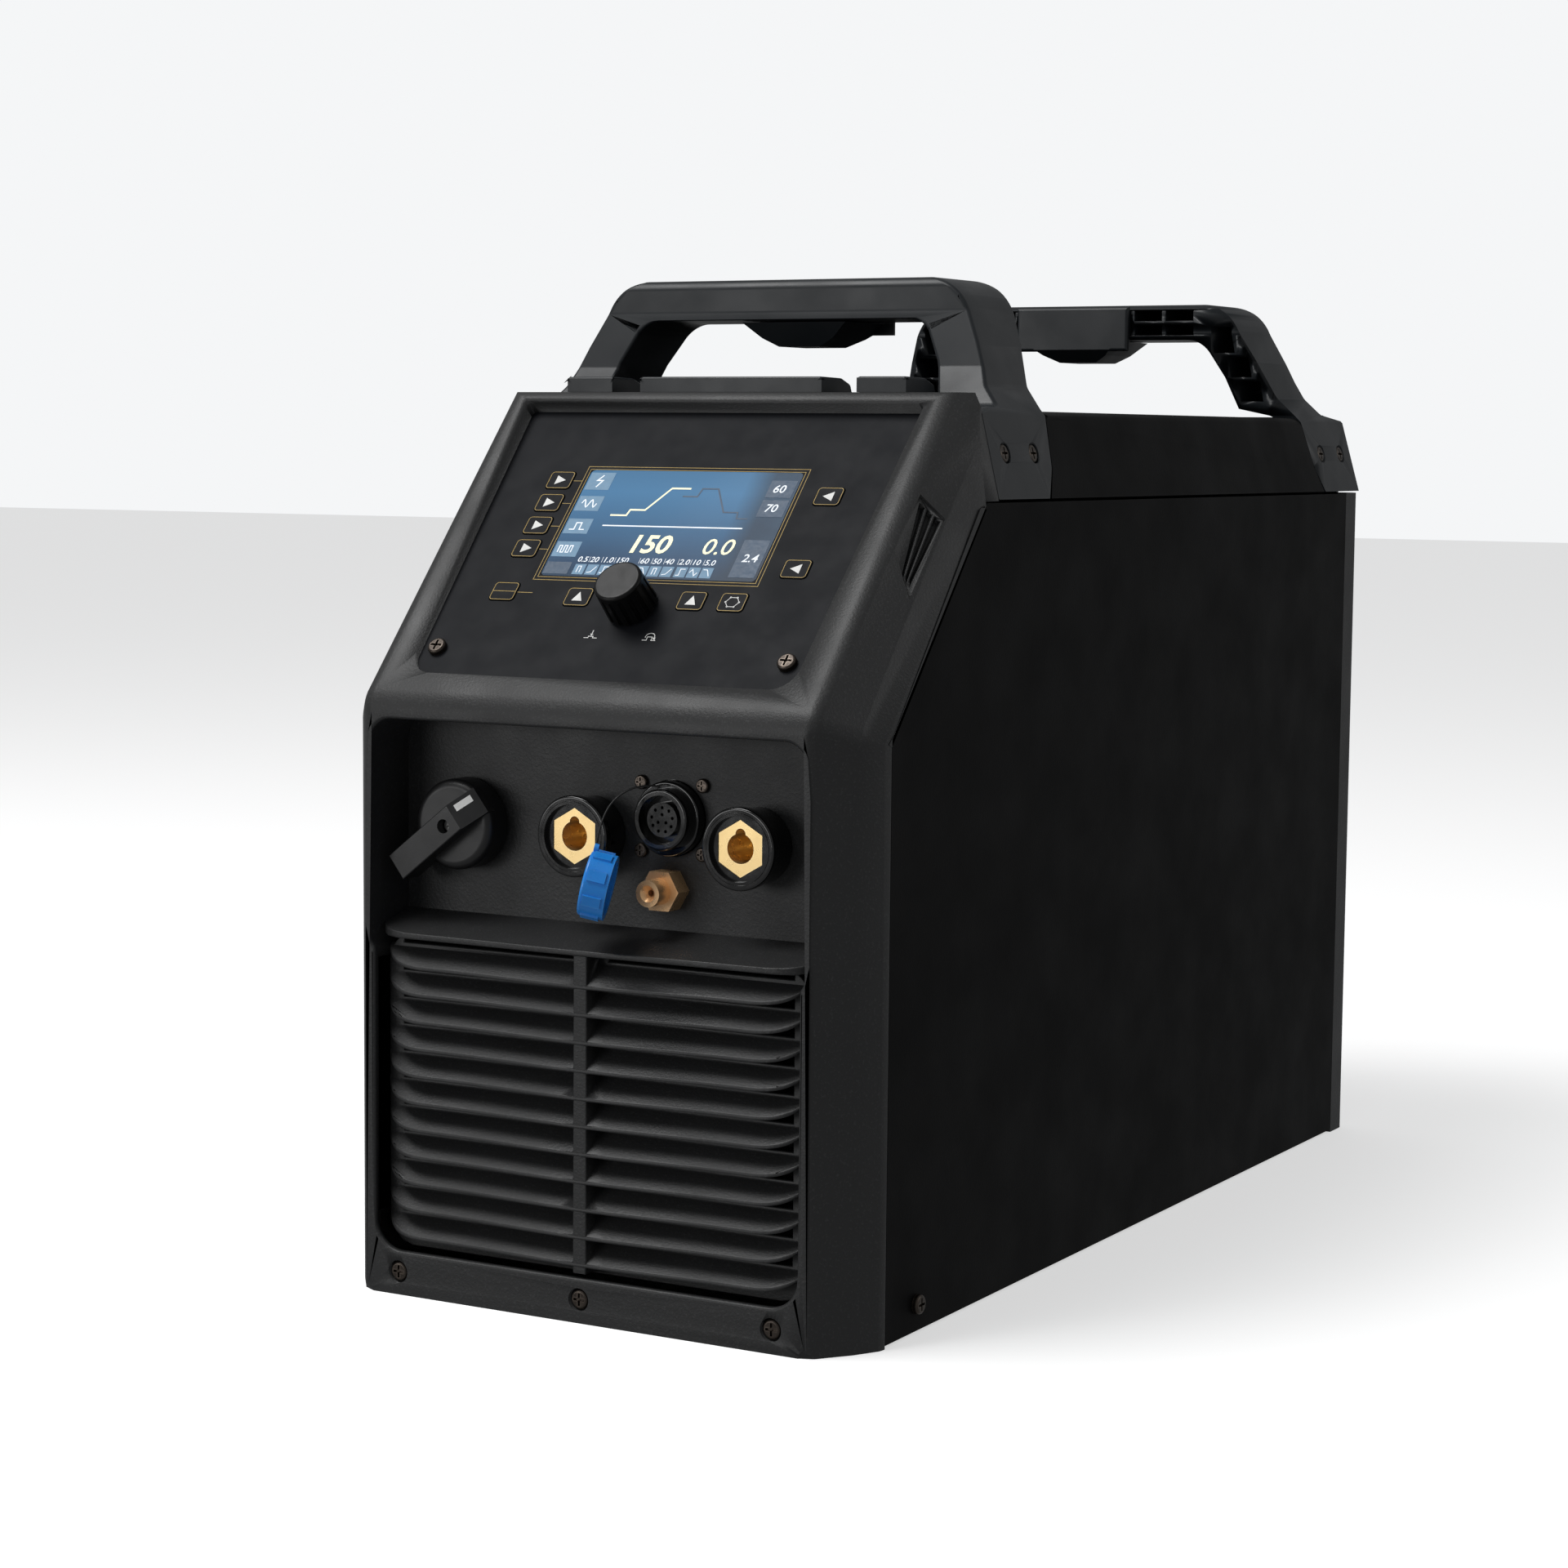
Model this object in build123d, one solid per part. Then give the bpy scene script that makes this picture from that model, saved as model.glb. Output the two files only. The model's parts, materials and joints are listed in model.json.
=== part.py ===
from build123d import *
import math
import os

# TIG welding machine, portable inverter type, with two carrying handles.
# Millimetres. +X is to the right seen from the front, the front faces -Y, +Z is up.
# All shapes are drawn with y = 0 at the front face, then moved forward by half the overall depth,
# so the origin is at the middle of the overall footprint, on the surface that it stands on.

# ---- driving dimensions ----
CASE_WIDTH = 270.0
CASE_DEPTH = 592.0
REAR_REACH = 16.0             # how far the cable gland and hose barb stand out of the rear
HALF = CASE_WIDTH / 2
WALL = 3.0                    # moulded wall
SHEET = 1.5                   # sheet steel
GAP = 0.4                     # gap between neighbouring case parts

SEAM_Z = 359.5                # joint between side covers and top cover
COVER_TOP_Z = 398.0
LEAN = 10.0                   # how far the upper strip leans in between seam and top
FASCIA_TOP_Z = 407.5
FASCIA_TOP_Y = 121.2
CREASE_Z = 270.0              # where the upright front turns into the slope
FASCIA_SIDE_Y = 32.0          # depth of the fascia on the lower sides
KNEE_Z = 261.0                # where the fascia's rear edge starts to slant
SLANT_TOP_Y = 119.0           # where that slanted edge meets the seam
FOOT_FRONT_Y = 131.0          # where the handle's foot follows the fascia
REAR_FRAME_Y = 570.0          # where the rear frame starts on the lower sides
FRONT_HALF = 114.5            # half width of the flat front before the cheeks
CHEEK_HALF = 128.0
CHEEK_MID = 17.0
CHEEK_DEPTH = 29.0
PLAN_MIRROR_Y = 361.0         # plane that mirrors the front handle onto the rear one

RECESS_HALF = 112.5           # connector recess
RECESS_LOW = 165.0
RECESS_HIGH = 261.0
RECESS_DEPTH = 30.0
RECESS_R = 12.0
LEDGE_RISE = 8.0              # how much the recess floor rises towards the back
LEDGE_THICK = 2.6
FACE_SINK = 0.6               # how far the louvre moulding stays clear of the front face

GRILLE_HALF = 109.0
GRILLE_LOW = 20.0
GRILLE_R = 14.0
SLAT_TOP = 147.5              # front edge of the highest slat
SLAT_COUNT = 11
SLAT_PITCH = 12.3
SLAT_THICK = 1.8
SLAT_RISE = 9.6
SLAT_DEPTH = 13.0
RIB_HALF = 3.4
BOW_DEPTH = 11.0              # how far the slats' ends lie behind their middle

PANEL_ANGLE = 47.2            # slope of the control panel from the horizontal
PANEL_Y = 30.1                # a point of the panel's face
PANEL_Z = 300.0
PANEL_LOW = -27.0             # along the slope from that point
PANEL_HIGH = 134.0
PANEL_LOW_HALF = 98.0         # half width at the lower end
PANEL_HIGH_HALF = 105.0
PANEL_LOW_R = 12.0
PANEL_HIGH_R = 3.0
PANEL_SCREWS = ((-90.0, -11.3), (90.0, -11.3))
OVERLAY = 1.6
WINDOW = (-55.8, 55.8, 33.5, 97.5)          # x0, x1, t0, t1
KEY_W = 13.2
KEY_H = 10.6
KEY_PROUD = 0.5
KEY_FLANGE = 1.2
KEYS = {                      # place of each key across and up the panel
    "key_mode_1": (-70.0, 90.5),
    "key_mode_2": (-70.0, 76.6),
    "key_mode_3": (-70.0, 62.7),
    "key_mode_4": (-70.0, 48.8),
    "key_page_up": (73.6, 83.4),
    "key_page_down": (73.6, 41.2),
    "key_step_left": (-29.6, 21.2),
    "key_step_right": (29.2, 21.2),
    "key_gas_test": (49.8, 21.2),
    "key_store": (-70.0, 23.0),
}
KNOB_X = 1.0
KNOB_T = 16.5
KNOB_R = 11.9
KNOB_TOP_R = 11.2
KNOB_HIGH = 18.5
KNOB_FLUTES = 16
BOARD_OUT = 11.0              # how far the control board lies behind the panel's face
FIT = 0.05                    # radial clearance of a running fit

SOCKET_Z = 212.8
SOCKET_X = (-12.0, 72.0)
SOCKET_R = 18.0
SOCKET_FRONT_Y = 12.0
SOCKET_BORE_R = 6.5
CONNECTOR_X = 28.6
CONNECTOR_Z = 221.8
GAS_X = 27.5
GAS_Z = 190.5
SWITCH_X = -77.5
SWITCH_Z = 213.5
SWITCH_R = 20.5
SWITCH_TILT = 38.0            # pointer's angle above the horizontal at rest

HANDLE_TOP_Z = 461.0
HANDLE_DEPTH = 48.0
HANDLE_FRONT_Y = 174.0        # front of the grip bar
SCREW_FIRST_Y = 148.0
SCREW_PITCH = 29.6
SCREW_Z = 381.0

FAN_Z = 130.0
FAN_R = 84.0
FAN_Y = 520.0
FAN_DEPTH = 38.0

CAP_X = 10.5                  # middle of the connector's protective cap
CAP_Y = -1.5
CAP_Z = 194.5
CAP_TURN = 25.0
CAP_LEAN = 13.0
CAP_R = 15.0
CAP_LONG = 11.5
CORD_R = 0.45
LANYARD = (
    (CONNECTOR_X - 1.0, 21.0, CONNECTOR_Z + 14.6),
    (21.0, 15.0, 237.5),
    (12.5, 7.5, 231.5),
    (9.6, 1.5, 221.0),
    (9.7, -1.3, 212.8),
)

BASE_SCREW_X = (-97, 0, 97)
BASE_SCREW_Z = 10.5
SCREW_SINK = 3.2              # depth of the screw recesses in the mouldings
LOW_SCREW_Y = 61.0
LOW_SCREW_Z = 13.5
GLAND_X = -70.0
GLAND_Z = 300.0
INLET_X = 75.0
INLET_Z = 290.0

SHELF_Z = 246.0               # plate between the air tunnel and the electronics
SHELF_Y0 = 128.0
SHELF_Y1 = 560.0
VALVE_X = 75.0
VALVE_Y = 540.0
VALVE_Z = 290.0


# ---- shape helpers ----
def block(x0, x1, y0, y1, z0, z1):
    return Pos((x0 + x1) / 2, (y0 + y1) / 2, (z0 + z1) / 2) * Box(x1 - x0, y1 - y0, z1 - z0)


def side_prism(points, x0, x1):
    face = make_face(Polyline(*[(x0, y, z) for y, z in points], close=True))
    return extrude(face, amount=x1 - x0, dir=(1, 0, 0))


def front_prism(points, y0, y1):
    face = make_face(Polyline(*[(x, y0, z) for x, z in points], close=True))
    return extrude(face, amount=y1 - y0, dir=(0, 1, 0))


def plan_prism(points, z0, z1):
    face = make_face(Polyline(*[(x, y, z0) for x, y in points], close=True))
    return extrude(face, amount=z1 - z0, dir=(0, 0, 1))


def y_rod(x, z, r, y0, y1):
    return Pos(x, (y0 + y1) / 2, z) * Rot(90, 0, 0) * Cylinder(r, y1 - y0)


def x_rod(y, z, r, x0, x1):
    return Pos((x0 + x1) / 2, y, z) * Rot(0, 90, 0) * Cylinder(r, x1 - x0)


def y_hexagon(x, z, across_flats, y0, y1, turn=30.0):
    prism = extrude(RegularPolygon(across_flats / 2, 6, major_radius=False, rotation=turn), y1 - y0)
    return Pos(x, y0, z) * Rot(-90, 0, 0) * prism


def rounded_front_block(half, z0, z1, y0, y1, r, x=0.0):
    outline = RectangleRounded(2 * half, z1 - z0, r)
    return Pos(x, y1, (z0 + z1) / 2) * Rot(90, 0, 0) * extrude(outline, y1 - y0)


def mirrored_pair(solid):
    return [solid, mirror(solid, about=Plane.YZ)]


def rear_copy(solid):
    return mirror(solid, about=Plane.XZ.offset(-PLAN_MIRROR_Y))


def panel_place(x, t, out=0.0):
    slope = math.radians(PANEL_ANGLE)
    origin = (
        x,
        PANEL_Y + t * math.cos(slope) - out * math.sin(slope),
        PANEL_Z + t * math.sin(slope) + out * math.cos(slope),
    )
    normal = (0, -math.sin(slope), math.cos(slope))
    return Plane(origin=origin, x_dir=(1, 0, 0), z_dir=normal).location


# ---- moulded front ----
def fascia_slope():
    return math.atan((FASCIA_TOP_Z - CREASE_Z) / FASCIA_TOP_Y)


def fascia_envelope(inset, rear_points):
    """The front moulding's outer form, shrunk by inset, closed at the rear by rear_points."""
    slope = fascia_slope()
    crease_z = CREASE_Z + inset * math.tan(slope) - inset / math.cos(slope)
    top_z = FASCIA_TOP_Z - inset
    top_y = (top_z - CREASE_Z + inset / math.cos(slope)) / math.tan(slope)
    side = side_prism([(inset, inset), (inset, crease_z), (top_y, top_z)] + rear_points, -HALF, HALF)
    cheek = [
        (FRONT_HALF - 0.4 * inset, inset),
        (CHEEK_HALF - 0.7 * inset, CHEEK_MID + 0.6 * inset),
        (HALF - inset, CHEEK_DEPTH + 0.4 * inset),
        (HALF - inset, 300),
    ]
    outline = cheek + [(-x, d) for x, d in reversed(cheek)]
    upright = plan_prism(outline, -5, 500)
    along = Vector(0, math.cos(slope), math.sin(slope))
    inward = Vector(0, math.sin(slope), -math.cos(slope))
    start = Vector(0, 0, CREASE_Z) - along * 300
    corners = [start + Vector(x, 0, 0) + inward * d for x, d in outline]
    sloped = extrude(make_face(Polyline(*corners, close=True)), amount=700, dir=along)
    upper = [(HALF - inset, -5), (HALF - inset, SEAM_Z), (HALF - LEAN - inset, COVER_TOP_Z)]
    upper.append((HALF - LEAN - 2 - inset, 420))
    front = front_prism(upper + [(-x, z) for x, z in reversed(upper)], -5, 320)
    return side & upright & sloped & front


def panel_outline(grow, out0, out1):
    """The panel's outline, wider at the top, grown all round and extruded between two heights."""
    corners = [(PANEL_LOW_HALF + grow, PANEL_LOW - grow), (PANEL_HIGH_HALF + grow, PANEL_HIGH + grow)]
    face = make_face(Polyline(*(corners + [(-x, t) for x, t in reversed(corners)]), close=True))
    face = fillet(face.vertices().group_by(Axis.Y)[0], PANEL_LOW_R + grow)
    face = fillet(face.vertices().group_by(Axis.Y)[-1], PANEL_HIGH_R + grow)
    return panel_place(0, 0, out0) * extrude(face, out1 - out0)


def panel_block(half, t0, t1, out0, out1):
    middle = panel_place(0, (t0 + t1) / 2, (out0 + out1) / 2)
    return middle * Box(2 * half, t1 - t0, out1 - out0)


def cheek_prism(outline, depth_from, depth_to):
    """Prism sunk into the right cheek beside the slope; outline points are along and across it."""
    slope = fascia_slope()
    along = Vector(0, math.cos(slope), math.sin(slope))
    inward = Vector(0, math.sin(slope), -math.cos(slope))
    across = (Vector(CHEEK_HALF - FRONT_HALF, 0, 0) + inward * CHEEK_MID) * (1 / CHEEK_MID)
    into = across.cross(along).normalized()
    into = into if into.X < 0 else into * -1
    start = Vector(FRONT_HALF, 0, CREASE_Z) + into * depth_from
    corners = [start + along * a + across * d for a, d in outline]
    return extrude(make_face(Polyline(*corners, close=True)), amount=depth_to - depth_from, dir=into)


def side_vent():
    """Shallow vent in the cheek, with three slots that draw together towards their lower ends."""
    pocket = cheek_prism([(128, 4.5), (124, 16), (78, 15.0), (96, 3.5)], -2, 1.4)
    for i in range(3):
        top = 5.6 + 3.5 * i
        low = 9.5 + 1.6 * i
        pocket += cheek_prism([(125 - i, top), (124.4 - i, top + 2.6), (84, low + 1.1), (88, low)], -2, 4.4)
    return pocket


def front_fascia():
    rear = [
        (FOOT_FRONT_Y + 2, FASCIA_TOP_Z),
        (FOOT_FRONT_Y, SEAM_Z + GAP),
        (SLANT_TOP_Y, SEAM_Z),
        (FASCIA_SIDE_Y, KNEE_Z),
        (FASCIA_SIDE_Y, 0),
    ]
    outer = fascia_envelope(0, rear)
    open_rear = [(310, FASCIA_TOP_Z - WALL), (310, WALL)]
    shell = outer - fascia_envelope(WALL, open_rear)
    backing = cheek_prism([(131, 2), (127, 17.5), (74, 17.5), (92, 1)], 2, 7)
    tub_low = RECESS_LOW - RECESS_R
    tub = rounded_front_block(
        RECESS_HALF + WALL, tub_low - WALL, RECESS_HIGH + WALL, 0, RECESS_DEPTH, RECESS_R + WALL
    )
    seat = panel_outline(WALL, -OVERLAY - WALL, 12)
    seat -= panel_block(PANEL_LOW_HALF - 12, PANEL_LOW + 10, PANEL_HIGH - 10, -OVERLAY - 2 * WALL, 20)
    body = shell + (tub & outer) + (seat & outer)
    for pad in mirrored_pair(backing):
        body += pad
    body -= rounded_front_block(RECESS_HALF, tub_low, RECESS_HIGH, -5, RECESS_DEPTH + 5, RECESS_R)
    body -= rounded_front_block(GRILLE_HALF + GAP, GRILLE_LOW, RECESS_LOW + 10, -5, RECESS_DEPTH + 5, GRILLE_R)
    body -= panel_outline(0, -OVERLAY, 30)
    for screw_x in BASE_SCREW_X:
        body += y_rod(screw_x, BASE_SCREW_Z, 7.0, 2, SCREW_SINK + 2)
        body -= y_rod(screw_x, BASE_SCREW_Z, 5.2, -1, SCREW_SINK)
        body -= y_rod(screw_x, BASE_SCREW_Z, 2.8, -1, 8)
    for vent in mirrored_pair(side_vent()):
        body -= vent
    for x, t in PANEL_SCREWS:
        body -= panel_place(x, t) * Cylinder(2.2, 20)
    body += block(-82, 82, FASCIA_TOP_Y, 160, FASCIA_TOP_Z - WALL, FASCIA_TOP_Z)
    return body


def bowed_prism(half, z0, z1):
    """Prism whose front is bowed: nearly flat in the middle and falling back at both ends."""
    back = RECESS_DEPTH
    front = Spline(
        (half, BOW_DEPTH, 0), (half - 8, 4.4, 0), (half - 30, 1.4, 0), (0, 0.4, 0),
        (30 - half, 1.4, 0), (8 - half, 4.4, 0), (-half, BOW_DEPTH, 0),
    )
    sides = Polyline((-half, BOW_DEPTH, 0), (-half, back, 0), (half, back, 0), (half, BOW_DEPTH, 0))
    return Pos(0, 0, z0) * extrude(make_face(sides + front), amount=z1 - z0, dir=(0, 0, 1))


def front_grille():
    """Louvre moulding below the recess: its ledge, bowed slats, a middle rib and a slotted back."""
    ledge_top = RECESS_LOW + LEDGE_RISE - FACE_SINK
    under = RECESS_LOW - LEDGE_THICK
    profile = [
        (-1, RECESS_LOW - FACE_SINK), (RECESS_DEPTH, ledge_top),
        (RECESS_DEPTH, RECESS_LOW + LEDGE_RISE - LEDGE_THICK), (6, under), (-1, under),
    ]
    ledge = side_prism(profile, -HALF, HALF) & bowed_prism(RECESS_HALF - FACE_SINK, RECESS_LOW - 10, RECESS_HIGH)
    slats = block(-RIB_HALF, RIB_HALF, FACE_SINK, SLAT_DEPTH, GRILLE_LOW + 2, under + 1)
    back = rounded_front_block(GRILLE_HALF, GRILLE_LOW + GAP, RECESS_LOW - 1, BOW_DEPTH, 20, GRILLE_R - GAP)
    for i in range(SLAT_COUNT):
        z = SLAT_TOP - i * SLAT_PITCH
        back_low = z + SLAT_RISE
        slat = [(0, z), (SLAT_DEPTH, back_low), (SLAT_DEPTH, back_low + SLAT_THICK), (0, z + 0.9 * SLAT_THICK)]
        slats += side_prism(slat, -GRILLE_HALF, GRILLE_HALF)
        if i < SLAT_COUNT - 1:
            for slot in mirrored_pair(back_slot(back_low - SLAT_PITCH + SLAT_THICK + GAP, back_low - 0.5)):
                back -= slot
    for slot in mirrored_pair(back_slot(SLAT_TOP + SLAT_RISE + SLAT_THICK + GAP, RECESS_LOW - 3)):
        back -= slot
    slats &= bowed_prism(GRILLE_HALF, GRILLE_LOW, RECESS_LOW)
    return ledge + slats + back


def back_slot(z0, z1):
    """Air slot through the grille's back, on its right side."""
    return block(RIB_HALF + 4.6, GRILLE_HALF - 8, 10, 21, z0, z1)


def connector_plate():
    plate = rounded_front_block(
        RECESS_HALF + 8, RECESS_LOW - 1, RECESS_HIGH + 8, RECESS_DEPTH + GAP, RECESS_DEPTH + GAP + 2, 4
    )
    y0 = RECESS_DEPTH - 1
    y1 = RECESS_DEPTH + 6
    for x in SOCKET_X:
        plate -= y_rod(x, SOCKET_Z, 14.4, y0, y1)
    plate -= y_rod(CONNECTOR_X, CONNECTOR_Z, 16.9, y0, y1)
    plate -= y_rod(GAS_X, GAS_Z, 5.3, y0, y1)
    plate -= y_rod(SWITCH_X, SWITCH_Z, 5.5, y0, y1)
    for x, z in connector_screw_points():
        plate -= y_rod(x, z, 1.75, y0, y1)
    return plate


# ---- control panel ----
def control_overlay():
    plate = panel_outline(-GAP, -OVERLAY, 0)
    for x, t in KEYS.values():
        hole = extrude(RectangleRounded(KEY_W + 0.7, KEY_H + 0.7, 2.3), 8, both=True)
        plate -= panel_place(x, t) * hole
    x0, x1, t0, t1 = WINDOW
    opening = extrude(RectangleRounded(x1 - x0 + GAP, t1 - t0 + GAP, 2.5), 8, both=True)
    plate -= panel_place((x0 + x1) / 2, (t0 + t1) / 2) * opening
    plate -= panel_place(KNOB_X, KNOB_T) * Cylinder(4.2, 20)
    for x, t in PANEL_SCREWS:
        plate -= panel_place(x, t) * Cylinder(2.9, 20)
    return plate


def panel_key(x, t):
    """A keycap with a rounded face and a wider flange that stays behind the overlay."""
    cap = extrude(RectangleRounded(KEY_W, KEY_H, 2.0), KEY_PROUD + OVERLAY + GAP)
    cap = fillet(cap.edges().group_by(Axis.Z)[-1], 0.3)
    flange = Pos(0, 0, -KEY_FLANGE) * extrude(RectangleRounded(KEY_W - 0.4, KEY_H + 2, 1.5), KEY_FLANGE)
    stem = Pos(0, 0, -KEY_FLANGE - 1.5) * Cylinder(1.6, 3)
    return panel_place(x, t, -OVERLAY - GAP) * (cap + flange + stem)


def display_window():
    x0, x1, t0, t1 = WINDOW
    glass = Pos(0, 0, -OVERLAY + 0.2) * extrude(RectangleRounded(x1 - x0, t1 - t0, 2.3), OVERLAY - 0.3)
    return panel_place((x0 + x1) / 2, (t0 + t1) / 2) * glass


def display_module():
    x0, x1, t0, t1 = WINDOW
    middle = panel_place((x0 + x1) / 2, (t0 + t1) / 2)
    return middle * (Pos(0, 0, -OVERLAY - 3.6) * Box(x1 - x0 + 1, t1 - t0 + 1, 6.0))


def control_board():
    board = panel_block(84.5, -14, 106, -BOARD_OUT - 1.6, -BOARD_OUT)
    chips = ((-40, 70, 14, 14), (10, 80, 20, 12), (45, 60, 10, 16), (-60, 5, 12, 8), (60, 0, 16, 10))
    for x, t, w, h in chips:
        board += panel_place(x, t, -BOARD_OUT - 2.6) * Box(w, h, 2.4)
    board += panel_place(-10, 95, -BOARD_OUT - 5) * Box(40, 6, 7)
    for x in (-80, 80):
        for t in (-8, 100):
            board += panel_place(x, t, -(BOARD_OUT + OVERLAY) / 2) * Cylinder(3, BOARD_OUT - OVERLAY)
    return board


def encoder_body():
    can = panel_place(KNOB_X, KNOB_T, -(BOARD_OUT + 3.3) / 2) * Box(13, 13, BOARD_OUT - 3.3)
    bush = panel_place(KNOB_X, KNOB_T, -OVERLAY + 0.4) * Cylinder(3.9, 7)
    pocket = panel_place(KNOB_X, KNOB_T, -OVERLAY - 5.4) * Cylinder(5.0, 4.4)
    bore = panel_place(KNOB_X, KNOB_T) * Cylinder(3 + FIT, 40)
    return can + bush - pocket - bore


def encoder_plunger():
    """Ring that the knob's shaft turns in and that goes in with it when the knob is pressed."""
    ring = Cylinder(4.9, 1.6) - Cylinder(2.5 + FIT, 5)
    return panel_place(KNOB_X, KNOB_T, -OVERLAY - 4.6) * ring


def encoder_shaft():
    upper = panel_place(KNOB_X, KNOB_T, 2.35) * Cylinder(3.0, 15.3)
    neck = panel_place(KNOB_X, KNOB_T, -6.2) * Cylinder(2.5, 2.4)
    return upper + neck


def control_knob():
    """Slightly tapered knob with a domed edge and deep flutes that stop short of the top."""
    foot = 1.4
    grip = Pos(0, 0, (foot + KNOB_HIGH) / 2) * Cone(KNOB_R, KNOB_TOP_R, KNOB_HIGH - foot)
    grip = fillet(grip.edges().group_by(Axis.Z)[-1], 1.6)
    for i in range(KNOB_FLUTES):
        angle = math.radians(360 / KNOB_FLUTES * i)
        reach = (KNOB_R + KNOB_TOP_R) / 2 + 0.2
        grip -= Pos(reach * math.cos(angle), reach * math.sin(angle), 0) * Cylinder(1.15, 2 * KNOB_HIGH - 6)
    hollow = Cylinder(KNOB_TOP_R - 2.4, 16)
    hub = Pos(0, 0, 3.4) * extrude(Circle(5.2), 8)
    bore = Cylinder(3.0, 20.0)
    return panel_place(KNOB_X, KNOB_T, 0) * (grip - hollow + hub - bore)


# ---- connector field ----
def connector_screw_points():
    reach = 15.6
    return [(CONNECTOR_X + sx * reach, CONNECTOR_Z + sz * (reach - 0.6)) for sx in (-1, 1) for sz in (-1, 1)]


def switch_turn():
    return Pos(SWITCH_X, 0, SWITCH_Z) * Rot(0, -SWITCH_TILT, 0)


def main_switch_knob():
    disc = Pos(0, 21.5, 0) * Rot(90, 0, 0) * Cylinder(SWITCH_R, 13)
    disc = fillet(disc.edges().group_by(Axis.Y)[0], 4)
    profile = [(-33, 8), (7, 8), (20, 14.6), (20, 20), (-33, 20)]
    face = make_face(Polyline(*[(u, y, -6.5) for u, y in profile], close=True))
    lever = extrude(face, amount=13, dir=(0, 0, 1))
    lever = fillet(lever.edges().group_by(Axis.Y)[0], 0.6)
    shaft = Pos(0, 39, 0) * Rot(90, 0, 0) * Cylinder(4.5, 22)
    hole = Pos(0, 9, 0) * Rot(90, 0, 0) * Cylinder(3.2, 12)
    deep = Pos(0, 20, 0) * Rot(90, 0, 0) * Cylinder(1.6, 30)
    return switch_turn() * (disc + lever + shaft - hole - deep)


def main_switch_screw():
    head = Rot(90, 0, 0) * Cylinder(2.7, 2.0) - Pos(0, -1, 0) * Box(4.2, 1.4, 0.8)
    shank = Pos(0, 6, 0) * Rot(90, 0, 0) * Cylinder(1.5, 12)
    return switch_turn() * (Pos(0, 13.9, 0) * (head + shank))


def main_switch_body():
    front = RECESS_DEPTH + GAP + 2 + GAP
    body = block(SWITCH_X - 24, SWITCH_X + 24, front, front + 46, SWITCH_Z - 24, SWITCH_Z + 24)
    for z in (-20, 20):
        for x in (-15, 0, 15):
            body += block(SWITCH_X + x - 4, SWITCH_X + x + 4, front + 14, front + 26, SWITCH_Z + z - 9, SWITCH_Z + z + 9)
    return body - y_rod(SWITCH_X, SWITCH_Z, 4.5 + FIT, 20, front + 30)


def socket_insulator(x):
    y0 = SOCKET_FRONT_Y
    tube = y_rod(x, SOCKET_Z, 16.6, y0 + 1, RECESS_DEPTH)
    ring = fillet(y_rod(x, SOCKET_Z, SOCKET_R, y0, y0 + 5).edges(), 1.2)
    inner_ring = y_rod(x, SOCKET_Z, SOCKET_R - 2.6, y0 - 0.1, y0 + 2.2) - y_rod(x, SOCKET_Z, 14.2, y0 - 1, y0 + 6)
    groove = y_rod(x, SOCKET_Z, SOCKET_R - 2.4, y0 - 1, y0 + 1.2) - y_rod(x, SOCKET_Z, SOCKET_R - 3.4, y0 - 1, y0 + 6)
    neck = y_rod(x, SOCKET_Z, 14.0, RECESS_DEPTH - 1, RECESS_DEPTH + 14)
    nut = y_hexagon(x, SOCKET_Z, 31, RECESS_DEPTH + GAP + 2 + GAP, RECESS_DEPTH + 9)
    body = tube + ring - groove + neck + nut + inner_ring
    body -= y_rod(x, SOCKET_Z, 14.2, y0 - 1, y0 + 2.2)
    return body - y_hexagon(x, SOCKET_Z, 21.7, y0 - 2, RECESS_DEPTH + 20)


def socket_insert(x):
    y0 = SOCKET_FRONT_Y + 2.6
    body = y_hexagon(x, SOCKET_Z, 21.5, y0, RECESS_DEPTH + 12)
    body += y_rod(x, SOCKET_Z, 9, RECESS_DEPTH + 11, RECESS_DEPTH + 34)
    body -= y_rod(x, SOCKET_Z, SOCKET_BORE_R, y0 - 1, y0 + 30)
    body -= block(x - 2.5, x + 2.5, y0 - 1, y0 + 11, SOCKET_Z, SOCKET_Z + 6.2)
    return body - y_rod(x, SOCKET_Z + 6.2, 2.5, y0 - 1, y0 + 11)


def connector_shell():
    x = CONNECTOR_X
    z = CONNECTOR_Z
    base = fillet(y_rod(x, z, 16.5, 25, RECESS_DEPTH + 3).edges().group_by(Axis.Y)[0], 1.0)
    ring = fillet(y_rod(x, z, 13.6, 19.5, 27).edges().group_by(Axis.Y)[0], 1.2)
    rear = block(x - 18.5, x + 18.5, RECESS_DEPTH + 2 + 2 * GAP, RECESS_DEPTH + 6, z - 18.5, z + 18.5)
    tail = y_rod(x, z, 13, RECESS_DEPTH + 5, RECESS_DEPTH + 22)
    body = base + ring + rear + tail - y_rod(x, z, 10.8, 18, RECESS_DEPTH + 30)
    for sx, sz in connector_screw_points():
        body -= y_rod(sx, sz, 1.3, RECESS_DEPTH, RECESS_DEPTH + 10)
    return body


def connector_insert():
    x = CONNECTOR_X
    z = CONNECTOR_Z
    body = y_rod(x, z, 10.7, 26, RECESS_DEPTH + 20) + y_rod(x, z, 7.6, 21.5, 27)
    points = []
    for i in range(3):
        angle = math.radians(120 * i + 90)
        points.append((2.3 * math.cos(angle), 2.3 * math.sin(angle)))
    for i in range(9):
        angle = math.radians(40 * i + 90)
        points.append((5.3 * math.cos(angle), 5.3 * math.sin(angle)))
    for px, pz in points:
        body -= y_rod(x + px, z + pz, 0.75, 20, 28)
    return body


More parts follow.
